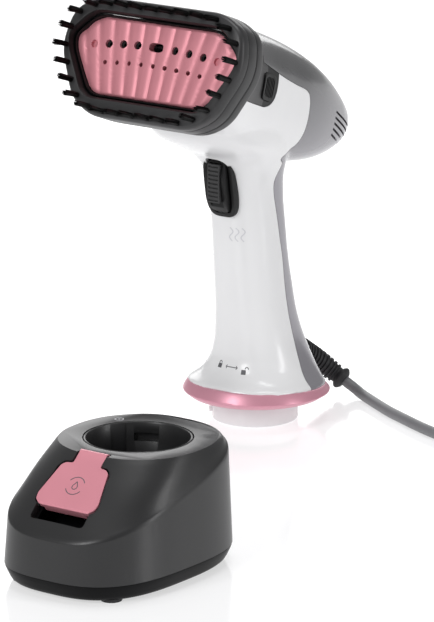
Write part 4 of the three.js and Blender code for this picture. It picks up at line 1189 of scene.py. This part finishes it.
def make_trigger():
    """The trigger, with a slot down its face that its lock slides in."""
    face = flat_line(seat_line(
        (TRIGGER_BOTTOM, 2), (TRIGGER_BOTTOM + 4, TRIGGER_PROUD - 1.2),
        (TRIGGER_BOTTOM + 9, TRIGGER_PROUD), (TRIGGER_TOP - 12, TRIGGER_PROUD),
        (TRIGGER_TOP - 6, TRIGGER_PROUD - 1.5), (TRIGGER_TOP, 2)))
    back = seat_line((TRIGGER_TOP, -4), (TRIGGER_PIN_Z - 4, -7), (TRIGGER_BOTTOM, -4.5))
    lever = kept_inside(trigger_column(0), side_slab([*face, *back]))
    slot = block((2 * (LOCK_HALF_X + GAP), 10, LOCK_HEIGHT + LOCK_TRAVEL + 2 * GAP),
                 (0, LOCK_Y - 2.5, LOCK_MIDDLE - LOCK_TRAVEL / 2))
    cut(lever, slot)
    bevelled(lever, 0.7, 3)
    finished(lever, "trigger_lever", HANDSET, "trigger", "soft_black", ["trigger"])


def make_lock_slider():
    slider = block((2 * LOCK_HALF_X, LOCK_DEPTH, LOCK_HEIGHT), (0, LOCK_Y, LOCK_MIDDLE))
    front = LOCK_Y - LOCK_DEPTH / 2
    grooves = [block((2 * LOCK_HALF_X - 1.4, 1.6, 1.0), (0, front, LOCK_MIDDLE + i * 2.4))
               for i in range(-4, 5)]
    cut(slider, *grooves)
    bevelled(slider, 0.35, 2)
    finished(slider, "lock_slide", HANDSET, "trigger_lock", "frame_grey", ["trigger_lock"])


# ---------------- base of the handset

RING_BOTTOM, RING_RADIUS, RING_FRONT, RING_BACK = 13.8, 42, 24, 18.4
SPIGOT_RADIUS, SPIGOT_WALL, SPIGOT_DECK, FLANGE, FLANGE_RADIUS = 24.6, 2.6, 4, 16.8, 31
LUG_TURNS = (90, 210)


def make_base_ring():
    slant = (RING_FRONT - RING_BACK) / (2 * RING_RADIUS)
    top = (RING_FRONT + RING_BACK) / 2
    low = RING_BOTTOM
    profile = [
        (37, low + 2.6, 0), (25, low + 2.6, 0), (25, low, 0), (37.4, low, 0), (38.6, low + 0.4, 0),
        (41.2, low + 2.2, 0.1), (41.9, low + 2.7, 0.2), (42, low + 3.1, 0.25),
        (41.7, low + 3.6, 0.35), (39.4, top - 0.7, 0.95), (38.9, top - 0.3, 1),
        (38.4, top - 0.2, 1), (36.6, top - 0.3, 1),
    ]
    rings = [
        [(x, y + (1.2 if scale > 30 else 0), z - y * slant * lean)
         for x, y in superellipse(scale, scale, 2, 144)]
        for scale, z, lean in profile
    ]
    finished(hoop(rings), "pink_ring", HANDSET, "handset", "satin_pink", ["base_ring"], RING_PINK)


def make_spigot():
    inner, outer = SPIGOT_RADIUS - SPIGOT_WALL, SPIGOT_RADIUS
    profile = [
        (6, SPIGOT_DECK), (inner, SPIGOT_DECK), (inner, 0.8), (inner + 0.6, 0.1),
        (inner + 0.9, 0), (outer - 0.9, 0), (outer - 0.3, 0.25), (outer, 0.9), (outer, 10.9),
        (outer - 1.1, 11.2), (outer - 1.1, 12.8), (outer, 13.1), (outer, FLANGE),
        (FLANGE_RADIUS, FLANGE), (FLANGE_RADIUS, FLANGE + 2), (inner, FLANGE + 2),
        (inner, SPIGOT_DECK + 2.2), (6, SPIGOT_DECK + 2.2),
    ]
    spigot = turned_ring(profile, 144)
    joined(spigot, *(turned_block((2.2, 6.5, 3), (outer + 0.3, 0, 4.4), turn)
                     for turn in LUG_TURNS))
    finished(spigot, "spigot_body", HANDSET, "handset", "gloss_white", ["docking_spigot"])


def make_handle_marks(outside):
    """Closed lock, double arrow and open lock at the handle's foot, and a steam mark above."""
    surface = surface_of(outside)

    def placed_at(angle, z, radius):
        def place(u, v):
            turn = math.radians(angle) + u / radius
            out = Vector((math.sin(turn), -math.cos(turn), 0))
            return surface.ray_cast(Vector((0, 0, z + v)) + out * 80, -out)[:2]
        return place

    strokes = []
    for angle, z, shackle_u, shackle_v in ((-16, 35.4, 0, 0.4), (21, 33.8, 2, 0.6)):
        lock = placed_at(angle, z, 29)
        strokes += [stroke([(-1.5, -1), (1.5, -1)], 2.4, lock),
                    stroke(arc(shackle_u, shackle_v, 1.1, 0, 180), 0.5, lock)]
    arrow = placed_at(3, 34.6, 29)
    strokes.append(stroke([(-4.4, 0), (4.4, 0)], 0.45, arrow))
    for side in (-1, 1):
        tip = [(side * u, v) for u, v in ((3.5, 0.9), (4.5, 0), (3.5, -0.9))]
        strokes.append(stroke(tip, 0.4, arrow))
    finish_mark(strokes, "lock_marks", HANDSET, "handset", MARK_GREY)

    steam = placed_at(14, 113, 21)
    waves = [[(u + 0.9 * math.sin(v * 0.9), v) for v in np.linspace(-4, 4, 17)]
             for u in (-2.6, 0, 2.6)]
    finish_mark([stroke(wave, 0.5, steam) for wave in waves], "steam_mark", HANDSET, "handset",
                MARK_FAINT)


body_outside = smoothed_body()
make_handle_marks(body_outside)
make_casing(body_outside)
make_trigger_surround(body_outside)
make_trigger()
make_lock_slider()
remove(body_outside)
make_latch_buttons()
make_plate()
make_surround()
make_brush_frame()
make_bristles()
make_base_ring()
make_spigot()

# ---------------- stage and light


def make_stage():
    corners = [(-6, -6, 0), (6, -6, 0), (6, 6, 0), (-6, 6, 0)]
    floor = mesh_object(corners, [(0, 1, 2, 3)], "floor")
    material = bpy.data.materials.new("pale_floor")
    material.use_nodes = True
    set_inputs(material.node_tree.nodes["Principled BSDF"], {
        "Base Color": (0.5, 0.5, 0.51, 1), "Roughness": 0.12,
        "Emission Color": (1, 1, 1, 1), "Emission Strength": 0.58})
    floor.data.materials.append(material)


def area_light(name, place, aim, size, power):
    data = bpy.data.lights.new(name, "AREA")
    data.shape = "RECTANGLE"
    data.size, data.size_y = size
    data.energy = power
    light = bpy.data.objects.new(name, data)
    light.location = place
    light.rotation_euler = (Vector(aim) - Vector(place)).to_track_quat("-Z", "Y").to_euler()
    bpy.context.scene.collection.objects.link(light)


def make_light():
    world = bpy.data.worlds.new("studio")
    world.use_nodes = True
    set_inputs(world.node_tree.nodes["Background"], {"Color": (1, 1, 1, 1), "Strength": 0.3})
    bpy.context.scene.world = world
    bpy.context.scene.view_settings.view_transform = "Standard"
    area_light("key", (-0.2, -2.2, 1.5), (0, 0, 0.1), (0.8, 1.4), 26)
    area_light("overhead", (0.0, 0.2, 2.2), (0, 0.05, 0.1), (1.0, 1.0), 16)
    area_light("behind", (-1.9, 2.3, 1.0), (0, 0, 0.1), (2.6, 1.3), 22)
    area_light("side", (1.9, 0.5, 0.7), (0, 0.1, 0.15), (0.4, 1.2), 9)


make_stage()
make_light()
